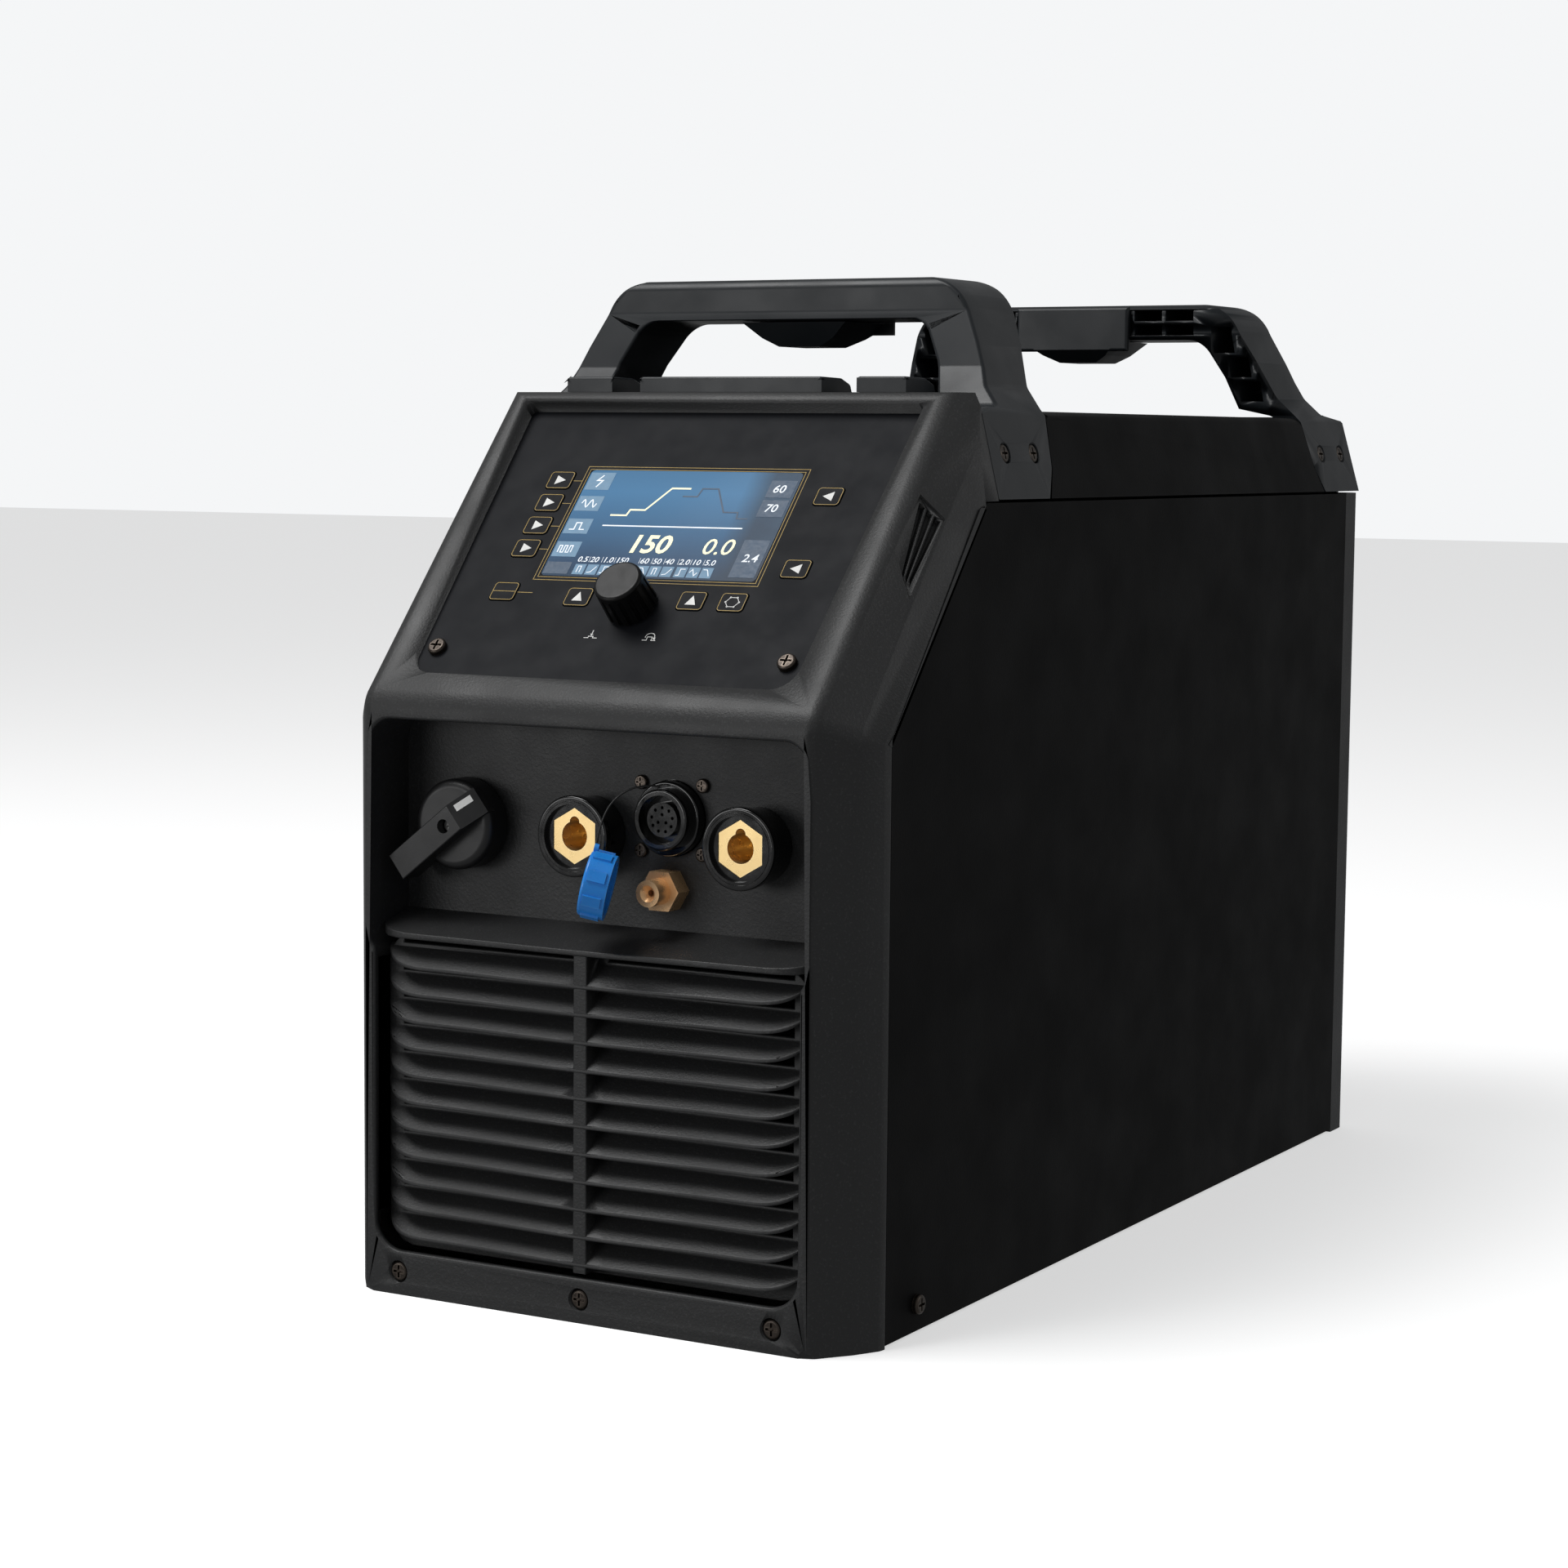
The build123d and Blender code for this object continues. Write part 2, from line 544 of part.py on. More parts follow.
def pan_screw(head_r, shank_r, length):
    """Cross-recessed pan head on the -Z side of the origin's plane, shank along +Z."""
    head_high = 0.62 * head_r
    head = Pos(0, 0, -head_high / 2) * Cylinder(head_r, head_high)
    head = fillet(head.edges().group_by(Axis.Z)[0], 0.45 * head_high)
    shank = Pos(0, 0, length / 2) * Cylinder(shank_r, length)
    cross = Box(1.3 * head_r, 0.26 * head_r, head_high) + Box(0.26 * head_r, 1.3 * head_r, head_high)
    return head + shank - Pos(0, 0, -head_high) * cross


def connector_screws():
    screws = [
        Pos(x, RECESS_DEPTH + GAP, z) * Rot(-90, 0, 0) * pan_screw(3.2, 1.25, 8)
        for x, z in connector_screw_points()
    ]
    return Compound(screws)


def gas_outlet():
    plate = RECESS_DEPTH + GAP
    body = y_hexagon(GAS_X, GAS_Z, 17, 21, plate, 0)
    body += y_rod(GAS_X, GAS_Z, 5.85, 11.5, 22)
    body += y_rod(GAS_X, GAS_Z, 5.2, plate - 1, plate + 16)
    mouth = Pos(GAS_X, 12.9, GAS_Z) * Rot(-90, 0, 0) * Cone(3.8, 1.4, 3)
    return body - y_rod(GAS_X, GAS_Z, 1.4, 10, plate + 20) - mouth


def cap_place():
    return Pos(CAP_X, CAP_Y, CAP_Z) * Rot(0, 0, CAP_TURN) * Rot(0, CAP_LEAN, 0)


def protective_cap():
    """Screw cap for the control connector, hanging with its axis nearly level."""
    shell = Rot(0, 90, 0) * Cylinder(CAP_R - 0.7, CAP_LONG)
    shell = fillet(shell.edges().group_by(Axis.X)[0], 1.2)
    for i in range(8):
        rib = Rot(45 * i + 22.5, 0, 0) * Pos(0, 0, CAP_R - 0.9) * Box(CAP_LONG - 3.5, 5.0, 1.8)
        shell += rib
    shell -= Pos(1.6, 0, 0) * Rot(0, 90, 0) * Cylinder(CAP_R - 3.0, CAP_LONG)
    eye = Pos(-4.2, 0, CAP_R + 0.6) * Rot(0, 90, 0) * (Cylinder(1.9, 2.0) - Cylinder(0.75, 4))
    return cap_place() * (shell + eye)


def cap_lanyard():
    route = FilletPolyline(*LANYARD, radius=lanyard_radii())
    start = Plane(origin=LANYARD[0], z_dir=Vector(*LANYARD[1]) - Vector(*LANYARD[0]))
    return sweep(start * Circle(CORD_R), path=route)


def lanyard_radii():
    radii = []
    for before, here, after in zip(LANYARD, LANYARD[1:], LANYARD[2:]):
        first = Vector(*here) - Vector(*before)
        second = Vector(*after) - Vector(*here)
        turn = math.radians(first.get_angle(second))
        radii.append(0.45 * min(first.length, second.length) / math.tan(turn / 2))
    return radii


# ---- handles ----
def handle_outer():
    side_outline = [
        (FOOT_FRONT_Y + GAP, SEAM_Z + 1), (FOOT_FRONT_Y + 2.4, COVER_TOP_Z + 1), (156, COVER_TOP_Z + 4),
        (166, 420), (HANDLE_FRONT_Y, 446), (HANDLE_FRONT_Y, HANDLE_TOP_Z),
        (HANDLE_FRONT_Y + HANDLE_DEPTH, HANDLE_TOP_Z), (HANDLE_FRONT_Y + HANDLE_DEPTH - 1, 445),
        (199, COVER_TOP_Z + 3), (193, 374), (184, SEAM_Z + 1),
    ]
    side_face = make_face(Polyline(*[(-HALF, y, z) for y, z in side_outline], close=True))
    side_face = fillet(side_face.vertices().filter_by(lambda v: v.Z > 372 and v.Y > 140), 5)
    side = extrude(side_face, amount=CASE_WIDTH, dir=(1, 0, 0))
    half_outline = [(HALF, SEAM_Z + 1), (HALF - LEAN, COVER_TOP_Z), (113, 411), (105, 430), (90, HANDLE_TOP_Z)]
    outline = half_outline + [(-x, z) for x, z in reversed(half_outline)]
    front_face = make_face(Polyline(*[(x, 100, z) for x, z in outline], close=True))
    front_face = fillet(front_face.vertices().filter_by(lambda v: v.Z > 450), 24)
    front_face = fillet(front_face.vertices().filter_by(lambda v: 400 < v.Z < 435), 9)
    return side & extrude(front_face, amount=140, dir=(0, 1, 0))


def handle_opening():
    half_outline = [(124, SEAM_Z - 5), (114, COVER_TOP_Z), (107.4, 401.4), (90, 405), (85, 422), (75, 442)]
    outline = half_outline + [(-x, z) for x, z in reversed(half_outline)]
    face = make_face(Polyline(*[(x, 90, z) for x, z in outline], close=True))
    face = fillet(face.vertices().filter_by(lambda v: v.Z > 425), 13)
    return extrude(face, amount=160, dir=(0, 1, 0))


def handle_cells():
    """Open cells on the side of the handle that faces the middle of the case."""
    cells = []
    y0 = HANDLE_FRONT_Y + 4
    y1 = HANDLE_FRONT_Y + HANDLE_DEPTH + 5
    for z0, z1 in ((444.5, 450.3), (452.3, 458.2)):
        for x0, x1 in ((36, 52.4), (54.4, 70.8)):
            cells.append(block(x0, x1, y0, y1, z0, z1))
    for z0, z1, x0, x1 in ((409, 420, 92, 105), (422, 433, 88.5, 100.5), (435, 449, 81, 93)):
        cells.append(block(x0, x1, y0 + 4, y1, z0, z1))
    cells.append(block(0, 34, y0, y1, 444.5, 458.2))
    return cells


def handle_front():
    body = handle_outer() - handle_opening()
    for cell in handle_cells():
        for pocket in mirrored_pair(cell):
            body -= pocket
    for place in foot_screw_places():
        body -= place * (Cylinder(2.7, 40) + Pos(0, 0, 2.2) * Cylinder(5.0, 10.4))
    return body


def foot_screw_places():
    """Places of the front handle's screws: on the leaning strip, +Z outwards."""
    lean = math.atan(LEAN / (COVER_TOP_Z - SEAM_Z))
    x = HALF - LEAN * (SCREW_Z - SEAM_Z) / (COVER_TOP_Z - SEAM_Z)
    places = []
    for side in (-1, 1):
        for y in (SCREW_FIRST_Y, SCREW_FIRST_Y + SCREW_PITCH):
            normal = (side * math.cos(lean), 0, math.sin(lean))
            places.append(Plane(origin=(side * x, y, SCREW_Z), x_dir=(0, 1, 0), z_dir=normal).location)
    return places


def handle_grip():
    """Insert that closes the middle of the bar, with a lug under it."""
    y0 = HANDLE_FRONT_Y
    y1 = HANDLE_FRONT_Y + HANDLE_DEPTH
    plug = block(-33.6, 33.6, y0 + 4.4, y1 + 0.6, 445, 457.8)
    lip = block(-33.6, 33.6, y1 + GAP, y1 + 3, 436, 460)
    lug = side_prism([(y0 + 10, 441.4), (y0 + 16, 430), (y1 - 6, 430), (y1 + 3, 437), (y1 + 3, 441.4)], -28, 28)
    lug &= front_prism([(-28, 441.4), (-19, 434), (-11, 430), (11, 430), (19, 434), (28, 441.4)], y0, y1 + 5)
    lip = fillet(lip.edges().group_by(Axis.Y)[-1], 1.8)
    return plug + lip + lug


def top_pads():
    pads = []
    for x0, x1 in ((-90.3, -65.5), (-50, 46.5), (64.5, 89.5)):
        outline = [(128, 0.1), (128, 7.2), (148, 6.8), (155, 4.5), (157, 0.1)]
        pad = side_prism([(y, FASCIA_TOP_Z + rise) for y, rise in outline], x0, x1)
        pads.append(fillet(pad.edges().filter_by(Axis.X).group_by(Axis.Z)[-1], 1.2))
    return Compound(pads)


# ---- sheet metal ----
def side_cover():
    """Right side cover: upright sheet with an inner flange that the handle's foot bolts to."""
    top = SEAM_Z - GAP
    profile = [
        (HALF - SHEET, 1.5), (HALF, 1.5), (HALF, top), (122.6, top), (112.9, 395.0),
        (111.4, 395.0), (121.4, top - SHEET), (HALF - SHEET, top - SHEET),
    ]
    body = front_prism(profile, FASCIA_SIDE_Y + GAP, REAR_FRAME_Y - GAP)
    slant = [
        (0, KNEE_Z), (FASCIA_SIDE_Y + GAP, KNEE_Z + GAP), (SLANT_TOP_Y + GAP, SEAM_Z - GAP),
        (SLANT_TOP_Y + GAP, 420), (0, 420),
    ]
    body -= side_prism(slant, 100, HALF + 5)
    for place in foot_screw_places() + [rear_copy_place(p) for p in foot_screw_places()]:
        body -= place * Cylinder(2.2, 60)
    body -= x_rod(LOW_SCREW_Y, LOW_SCREW_Z, 2.7, 120, 140)
    return body


def rear_copy_place(place):
    x, y, z = place.position
    side = 1 if x > 0 else -1
    lean = math.atan(LEAN / (COVER_TOP_Z - SEAM_Z))
    normal = (side * math.cos(lean), 0, math.sin(lean))
    return Plane(origin=(x, 2 * PLAN_MIRROR_Y - y, z), x_dir=(0, 1, 0), z_dir=normal).location


def top_cover():
    outer = [(HALF, SEAM_Z + 1), (HALF - LEAN, COVER_TOP_Z), (121.5, 400)]
    inner = [(120.8, 400 - SHEET), (HALF - LEAN - 1.9, COVER_TOP_Z - 1), (HALF - 1.5, SEAM_Z + 1)]
    outline = [(x, z) for x, z in outer] + [(-x, z) for x, z in reversed(outer)]
    outline += [(-x, z) for x, z in reversed(inner)] + inner
    body = front_prism(outline, FOOT_FRONT_Y + GAP, REAR_FRAME_Y - GAP)
    for zone in mirrored_pair(foot_zone(100, 240) & foot_side_zone()):
        body -= zone
        body -= rear_copy(zone)
    return body


def foot_zone(y0, y1):
    """The space that the handles' right feet take, seen from the front."""
    inner = [(122.3, SEAM_Z), (113.5, COVER_TOP_Z), (107, COVER_TOP_Z + 2), (107, 420)]
    return front_prism(inner + [(140, 420), (140, SEAM_Z)], y0, y1)


def foot_side_zone():
    """The front foot's space seen from the side, with its sloping rear edge."""
    rear = [(184.8, SEAM_Z - 1), (193.8, 374), (199.8, COVER_TOP_Z + 3), (199.8, 430)]
    return side_prism(rear + [(100, 430), (100, SEAM_Z - 1)], -HALF - 10, HALF + 10)


def rear_frame():
    def ring(inset):
        half = [
            (HALF - inset, inset), (HALF - inset, SEAM_Z), (HALF - LEAN - inset, COVER_TOP_Z),
            (HALF - LEAN - 4 - inset, COVER_TOP_Z + 3 - inset),
        ]
        return half + [(-x, z) for x, z in reversed(half)]

    body = front_prism(ring(0), REAR_FRAME_Y, CASE_DEPTH)
    corners = body.edges().filter_by(Axis.Z).group_by(Axis.Y)[-1]
    body = fillet(corners, 8)
    body -= front_prism(ring(WALL), REAR_FRAME_Y - 1, CASE_DEPTH - WALL)
    for zone in mirrored_pair(foot_zone(560, 600)):
        body -= zone
    body -= y_rod(0, FAN_Z, FAN_R + 2, 580, 600)
    body -= y_rod(GLAND_X, GLAND_Z, 12.4, 580, 600)
    body -= y_rod(INLET_X, INLET_Z, 6.4, 580, 600)
    for x in (-97, 97):
        body += y_rod(x, BASE_SCREW_Z, 7.0, CASE_DEPTH - SCREW_SINK - 2, CASE_DEPTH - 2)
        body -= y_rod(x, BASE_SCREW_Z, 5.2, CASE_DEPTH - SCREW_SINK, CASE_DEPTH + 1)
        body -= y_rod(x, BASE_SCREW_Z, 2.8, CASE_DEPTH - 8, CASE_DEPTH + 1)
    return body


def fan_guard():
    """Round guard of rings and spokes in the rear frame's opening."""
    y0 = CASE_DEPTH - WALL
    y1 = CASE_DEPTH - 0.5
    body = y_rod(0, FAN_Z, FAN_R + 1.6, y0, y1) - y_rod(0, FAN_Z, FAN_R - 3, y0 - 1, y1 + 1)
    for i in range(6):
        r = 18 + i * 11.5
        body += y_rod(0, FAN_Z, r + 1.3, y0, y1) - y_rod(0, FAN_Z, r - 1.3, y0 - 1, y1 + 1)
    body += y_rod(0, FAN_Z, 14, y0, y1)
    for i in range(4):
        body += Pos(0, (y0 + y1) / 2, FAN_Z) * Rot(0, 45 * i, 0) * Box(2 * FAN_R, y1 - y0, 3)
    flange = y_rod(0, FAN_Z, FAN_R + 9, y0 - GAP - 2, y0 - GAP) - y_rod(0, FAN_Z, FAN_R - 2, y0 - 5, y0 + 1)
    return body + flange + (y_rod(0, FAN_Z, FAN_R + 1.6, y0 - 2, y1) - y_rod(0, FAN_Z, FAN_R - 2, y0 - 5, y1 + 1))


def base_plate():
    y0 = SCREW_SINK + 2 + GAP
    y1 = CASE_DEPTH - y0
    body = block(-131, 131, y0, y1, 3.4, 4.9)
    for sign in (-1, 1):
        x0, x1 = sorted((sign * 131.5, sign * 133))
        body += block(x0, x1, FASCIA_SIDE_Y + 2, REAR_FRAME_Y - 2, 3.4, 28)
        x0, x1 = sorted((sign * 130, sign * 132))
        body += block(x0, x1, FASCIA_SIDE_Y + 2, REAR_FRAME_Y - 2, 3.4, 4.9)
    body -= plan_prism([(140, 0), (140, 34), (112, 34), (105, 0)], 0, 20)
    body -= plan_prism([(-140, 0), (-140, 34), (-112, 34), (-105, 0)], 0, 20)
    body += block(-104, 104, y0, y0 + SHEET, 3.4, 17.5)
    body += block(-124, 124, y1 - SHEET, y1, 3.4, 17.5)
    for x in BASE_SCREW_X:
        body -= y_rod(x, BASE_SCREW_Z, 2.2, 0, 12)
    for x in (-97, 97):
        body -= y_rod(x, BASE_SCREW_Z, 2.2, y1 - 5, y1 + 5)
    for sign in (-1, 1):
        body -= x_rod(LOW_SCREW_Y, LOW_SCREW_Z, 2.2, *sorted((sign * 125, sign * 140)))
    return body


def case_screws():
    """All the case's M5 screws: handles, side covers, front base edge, rear base edge and panel."""
    screw = Rot(180, 0, 0) * pan_screw(4.4, 2.1, 12)
    places = [p * Pos(0, 0, -2.9) for p in foot_screw_places()]
    places += [rear_copy_place(p) * Pos(0, 0, -2.9) for p in foot_screw_places()]
    screws = [p * screw for p in places]
    for x in BASE_SCREW_X:
        screws.append(Pos(x, SCREW_SINK, BASE_SCREW_Z) * Rot(90, 0, 0) * screw)
    for x in (-97, 97):
        screws.append(Pos(x, CASE_DEPTH - SCREW_SINK, BASE_SCREW_Z) * Rot(-90, 0, 0) * screw)
    for side, turn in ((-1, -90), (1, 90)):
        screws.append(Pos(side * HALF, LOW_SCREW_Y, LOW_SCREW_Z) * Rot(0, turn, 0) * screw)
    for x, t in PANEL_SCREWS:
        screws.append(panel_place(x, t) * screw)
    return Compound(screws)


# ---- rear entries ----
def mains_gland():
    """Cable gland: threaded body through the rear wall, locknut inside, domed compression nut outside."""
    wall = CASE_DEPTH
    body = y_rod(GLAND_X, GLAND_Z, 12.0, wall - 16, wall + 6)
    body += y_hexagon(GLAND_X, GLAND_Z, 30, wall + 0.1, wall + 6)
    dome = y_rod(GLAND_X, GLAND_Z, 13.6, wall + 5, wall + REAR_REACH)
    body += fillet(dome.edges().group_by(Axis.Y)[-1], 4)
    body += y_hexagon(GLAND_X, GLAND_Z, 30, wall - WALL - 5, wall - WALL - 0.1)
    return body - y_rod(GLAND_X, GLAND_Z, 7.0, wall - 20, wall + 20)


def gas_inlet():
    """Hose barb for the gas supply, with its hexagon outside and a thread through the wall."""
    wall = CASE_DEPTH
    body = y_rod(INLET_X, INLET_Z, 6.0, wall - 14, wall + 2)
    body += y_hexagon(INLET_X, INLET_Z, 17, wall + 0.1, wall + 6)
    body += y_rod(INLET_X, INLET_Z, 4.0, wall + 5, wall + REAR_REACH)
    for i in range(3):
        barb = Pos(INLET_X, wall + 8 + 3.2 * i, INLET_Z) * Rot(-90, 0, 0) * Cone(4.9, 3.9, 3.0)
        body += barb
    return body - y_rod(INLET_X, INLET_Z, 2.2, wall - 20, wall + 20)


# ---- internals ----
def divider_plate():
    """Shelf between the cooling tunnel and the electronics, with side flanges turned down."""
    body = block(-130, 130, SHELF_Y0, SHELF_Y1, SHELF_Z, SHELF_Z + SHEET)
    for sign in (-1, 1):
        x0, x1 = sorted((sign * 128.5, sign * 130))
        body += block(x0, x1, SHELF_Y0, SHELF_Y1, SHELF_Z - 20, SHELF_Z + SHEET)
        x0, x1 = sorted((sign * 116, sign * 118))
        body += block(x0, x1, SHELF_Y0 + 10, SHELF_Y0 + 34, 4.9, SHELF_Z)
        body += block(x0, x1, SHELF_Y1 - 34, SHELF_Y1 - 10, 4.9, SHELF_Z)
    return body


def heatsink():
    """Finned aluminium extrusion under the shelf, in the fan's air stream."""
    top = SHELF_Z
    body = block(-96, 96, 170, 400, top - 9, top)
    for i in range(17):
        x = -94 + i * 11.75
        body += block(x - 1.2, x + 1.2, 170, 400, top - 58, top - 8)
    return body


def power_board():
    z = SHELF_Z + SHEET + 8
    body = block(-112, 112, 160, 420, z, z + 2)
    for x in (-104, 104):
        for y in (168, 412):
            body += Pos(x, y, z - 4) * Cylinder(3.5, 8)
    for x in (-70, -20, 30):
        body += block(x - 17, x + 17, 190, 284, z - 8, z)
    body += block(70, 104, 190, 250, z + 2, z + 22)
    body += block(64, 106, 330, 390, z + 2, z + 30)
    for y in (300, 318):
        body += block(-100, -40, y - 4, y + 4, z + 2, z + 14)
    return body


def capacitors():
    z = SHELF_Z + SHEET + 10
    cans = []
    for x in (-78, -38, 2, 42):
        can = Pos(x, 378, z + 27) * Cylinder(17.5, 54)
        can = fillet(can.edges().group_by(Axis.Z)[-1], 2)
        cans.append(can - Pos(x, 378, z + 54) * (Box(22, 1.2, 1.2) + Box(1.2, 22, 1.2)))
    return Compound(cans)


def main_transformer():
    """Ferrite E-core transformer with its winding, standing on the base."""
    base = 4.9
    core = block(-84, -4, 300, 362, base, base + 92)
    for x in (-68, -34):
        core -= block(x, x + 14, 290, 370, base + 14, base + 78)
    winding = block(-70, -18, 290, 372, base + 16, base + 76)
    winding = fillet(winding.edges().filter_by(Axis.Z), 14)
    return core + winding


def output_choke():
    """Toroidal output choke standing on the base."""
    place = Pos(52, 331, 4.9 + 22) * Torus(34, 19)
    feet = block(30, 74, 318, 344, 4.9, 8) + block(40, 64, 300, 362, 4.9, 12)
    return place + feet


def hf_coil():
    """Ignition transformer near the sockets."""
    place = Pos(30, 190, 4.9)
    core = place * Pos(0, 0, 26) * Box(52, 40, 52)
    core -= place * Pos(0, 0, 26) * Box(26, 60, 26)
    coil = place * Pos(0, 0, 26) * Rot(90, 0, 0) * Cylinder(14, 50)
    post = place * Pos(0, 0, 3) * Box(64, 30, 6)
    return core + coil + post


def fan_housing():
    """Square fan frame with a motor spider behind the blades."""
    y0 = FAN_Y
    y1 = FAN_Y + FAN_DEPTH
    body = block(-FAN_R - 5, FAN_R + 5, y0, y1, FAN_Z - FAN_R - 5, FAN_Z + FAN_R + 5)
    body -= y_rod(0, FAN_Z, FAN_R + 1.5, y0 - 1, y1 + 1)
    body += y_rod(0, FAN_Z, 26, y1 - 12, y1 - 2)
    for i in range(4):
        spoke = Pos(0, y1 - 5, FAN_Z) * Rot(0, 90 * i + 45, 0) * Pos(FAN_R / 2 + 6, 0, 0)
        body += spoke * Box(FAN_R, 5, 7)
    feet = block(-60, 60, y0 + 4, y1 - 4, 4.9, FAN_Z - FAN_R - 4)
    return body + feet - y_rod(0, FAN_Z, 4 + FIT, y1 - 20, y1 + 4)


def fan_rotor():
    y0 = FAN_Y + 4
    hub = y_rod(0, FAN_Z, 27, y0, FAN_Y + 24)
    hub = fillet(hub.edges().group_by(Axis.Y)[0], 3)
    blades = 7
    for i in range(blades):
        blade = Rot(38, 0, 0) * Box(54, 20, 2.2)
        blade = Pos(0, FAN_Y + 14, FAN_Z) * Rot(0, 360 / blades * i, 0) * (Pos(FAN_R - 31, 0, 0) * blade)
        hub += blade
    hub &= y_rod(0, FAN_Z, FAN_R - 1.5, y0 - 2, FAN_Y + 25)
    return hub + y_rod(0, FAN_Z, 4, FAN_Y + 20, FAN_Y + FAN_DEPTH - 4)


def gas_valve_body():
    """Solenoid valve: brass block below, coil above, with a vertical chamber for the plunger."""
    x, y, z = VALVE_X, VALVE_Y, VALVE_Z
    block_part = block(x - 14, x + 14, y - 14, y + 14, z - 14, z + 10)
    coil = block(x - 17, x + 17, y - 17, y + 17, z + 10, z + 46)
    coil = fillet(coil.edges().filter_by(Axis.Z), 5)
    bracket = block(x - 20, x + 20, y - 12, y + 12, z + 46, z + 47.5)
    ports = y_rod(x, z, 6, y - 24, y + 24)
    strap = block(x + 17, x + 18.5, y - 12, y + 12, SHELF_Z + SHEET, z + 47.5)
    strap += block(x + 17, x + 40, y - 12, y + 12, SHELF_Z + SHEET, SHELF_Z + 2 * SHEET)
    body = block_part + coil + bracket + ports + strap
    body -= Pos(x, y, z + 19) * Cylinder(5 + FIT, 46)
    return body - y_rod(x, z, 2.5, y - 30, y + 30)


def gas_valve_plunger():
    """Plunger that closes the passage at rest and rises when the coil is on."""
    x, y, z = VALVE_X, VALVE_Y, VALVE_Z
    return Pos(x, y, z + 7.5) * Cylinder(5, 23)


def gas_valve_spring():
    x, y, z = VALVE_X, VALVE_Y, VALVE_Z
    low = z + 20.0
    path = Helix(pitch=3.4, height=19.0, radius=3.6, center=(x, y, low))
    start = Plane(origin=path @ 0, z_dir=path % 0)
    return sweep(start * Circle(0.5), path=path)


# ---- every piece, one file each ----
def pieces():
    front_screws = connector_screws()
    handle = handle_front()
    grip = handle_grip()
    cover = side_cover()
    nodes = {
        "front_fascia": front_fascia(),
        "front_grille": front_grille(),
        "connector_plate": connector_plate(),
        "control_overlay": control_overlay(),
        "display_window": display_window(),
        "display_module": display_module(),
        "control_board": control_board(),
        "encoder_body": encoder_body(),
        "encoder_plunger": encoder_plunger(),
        "encoder_shaft": encoder_shaft(),
        "control_knob": control_knob(),
        "main_switch_knob": main_switch_knob(),
        "main_switch_screw": main_switch_screw(),
        "main_switch_body": main_switch_body(),
        "connector_shell": connector_shell(),
        "connector_insert": connector_insert(),
        "connector_screws": front_screws,
        "gas_outlet": gas_outlet(),
        "protective_cap": protective_cap(),
        "cap_lanyard": cap_lanyard(),
        "handle_front": handle,
        "handle_rear": rear_copy(handle),
        "grip_front": grip,
        "grip_rear": rear_copy(grip),
        "top_pads": top_pads(),
        "side_cover_right": cover,
        "side_cover_left": mirror(cover, about=Plane.YZ),
        "top_cover": top_cover(),
        "rear_frame": rear_frame(),
        "fan_guard": fan_guard(),
        "base_plate": base_plate(),
        "case_screws": case_screws(),
        "mains_gland": mains_gland(),
        "gas_inlet": gas_inlet(),
        "divider_plate": divider_plate(),
        "heatsink": heatsink(),
        "power_board": power_board(),
        "capacitors": capacitors(),
        "main_transformer": main_transformer(),
        "output_choke": output_choke(),
        "hf_coil": hf_coil(),
        "fan_housing": fan_housing(),
        "fan_rotor": fan_rotor(),
        "gas_valve_body": gas_valve_body(),
        "gas_valve_plunger": gas_valve_plunger(),
        "gas_valve_spring": gas_valve_spring(),
    }
    for side, x in zip(("left", "right"), SOCKET_X):
        nodes["socket_insulator_" + side] = socket_insulator(x)
        nodes["socket_insert_" + side] = socket_insert(x)
    for name, (x, t) in KEYS.items():
        nodes[name] = panel_key(x, t)
    return nodes


def main():
    os.makedirs("parts", exist_ok=True)
    print("cap_lanyard arc radii, mm:", [round(r, 2) for r in lanyard_radii()])
    to_centre = Location((0, -(CASE_DEPTH + REAR_REACH) / 2, 0))
    for name, shape in pieces().items():
        placed = shape.moved(to_centre)
        export_step(placed, "parts/" + name + ".step")


if __name__ == "__main__":
    main()
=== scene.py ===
import json
import math

import bmesh
import bpy
from mathutils import Matrix, Vector


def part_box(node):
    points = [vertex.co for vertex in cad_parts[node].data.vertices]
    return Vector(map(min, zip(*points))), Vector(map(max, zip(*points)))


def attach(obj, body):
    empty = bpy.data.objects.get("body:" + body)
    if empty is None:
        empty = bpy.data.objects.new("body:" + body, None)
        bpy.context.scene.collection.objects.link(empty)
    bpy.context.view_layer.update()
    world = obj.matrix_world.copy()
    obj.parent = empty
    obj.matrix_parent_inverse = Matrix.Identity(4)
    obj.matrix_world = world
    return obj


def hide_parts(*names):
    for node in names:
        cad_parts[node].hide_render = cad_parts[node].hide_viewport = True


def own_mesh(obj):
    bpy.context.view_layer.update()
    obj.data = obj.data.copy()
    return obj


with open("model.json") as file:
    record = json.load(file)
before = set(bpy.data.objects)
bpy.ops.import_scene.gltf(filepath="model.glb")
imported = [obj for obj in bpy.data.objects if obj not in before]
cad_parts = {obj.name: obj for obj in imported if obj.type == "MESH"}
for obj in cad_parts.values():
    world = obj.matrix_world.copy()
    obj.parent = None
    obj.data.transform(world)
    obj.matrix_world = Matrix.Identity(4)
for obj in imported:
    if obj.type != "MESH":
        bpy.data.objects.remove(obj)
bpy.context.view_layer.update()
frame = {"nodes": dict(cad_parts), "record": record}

MM = 0.001
CASE = "case"


# ---- small helpers ----
def add_object(name, data):
    made = bpy.data.objects.new(name, data)
    bpy.context.scene.collection.objects.link(made)
    return made


def new_material(name):
    """An empty material, with its node tree and its shader."""
    made = bpy.data.materials.new(name)
    made.use_nodes = True
    return made, made.node_tree, made.node_tree.nodes["Principled BSDF"]


def set_inputs(node, values):
    for name, value in values.items():
        node.inputs[name].default_value = value


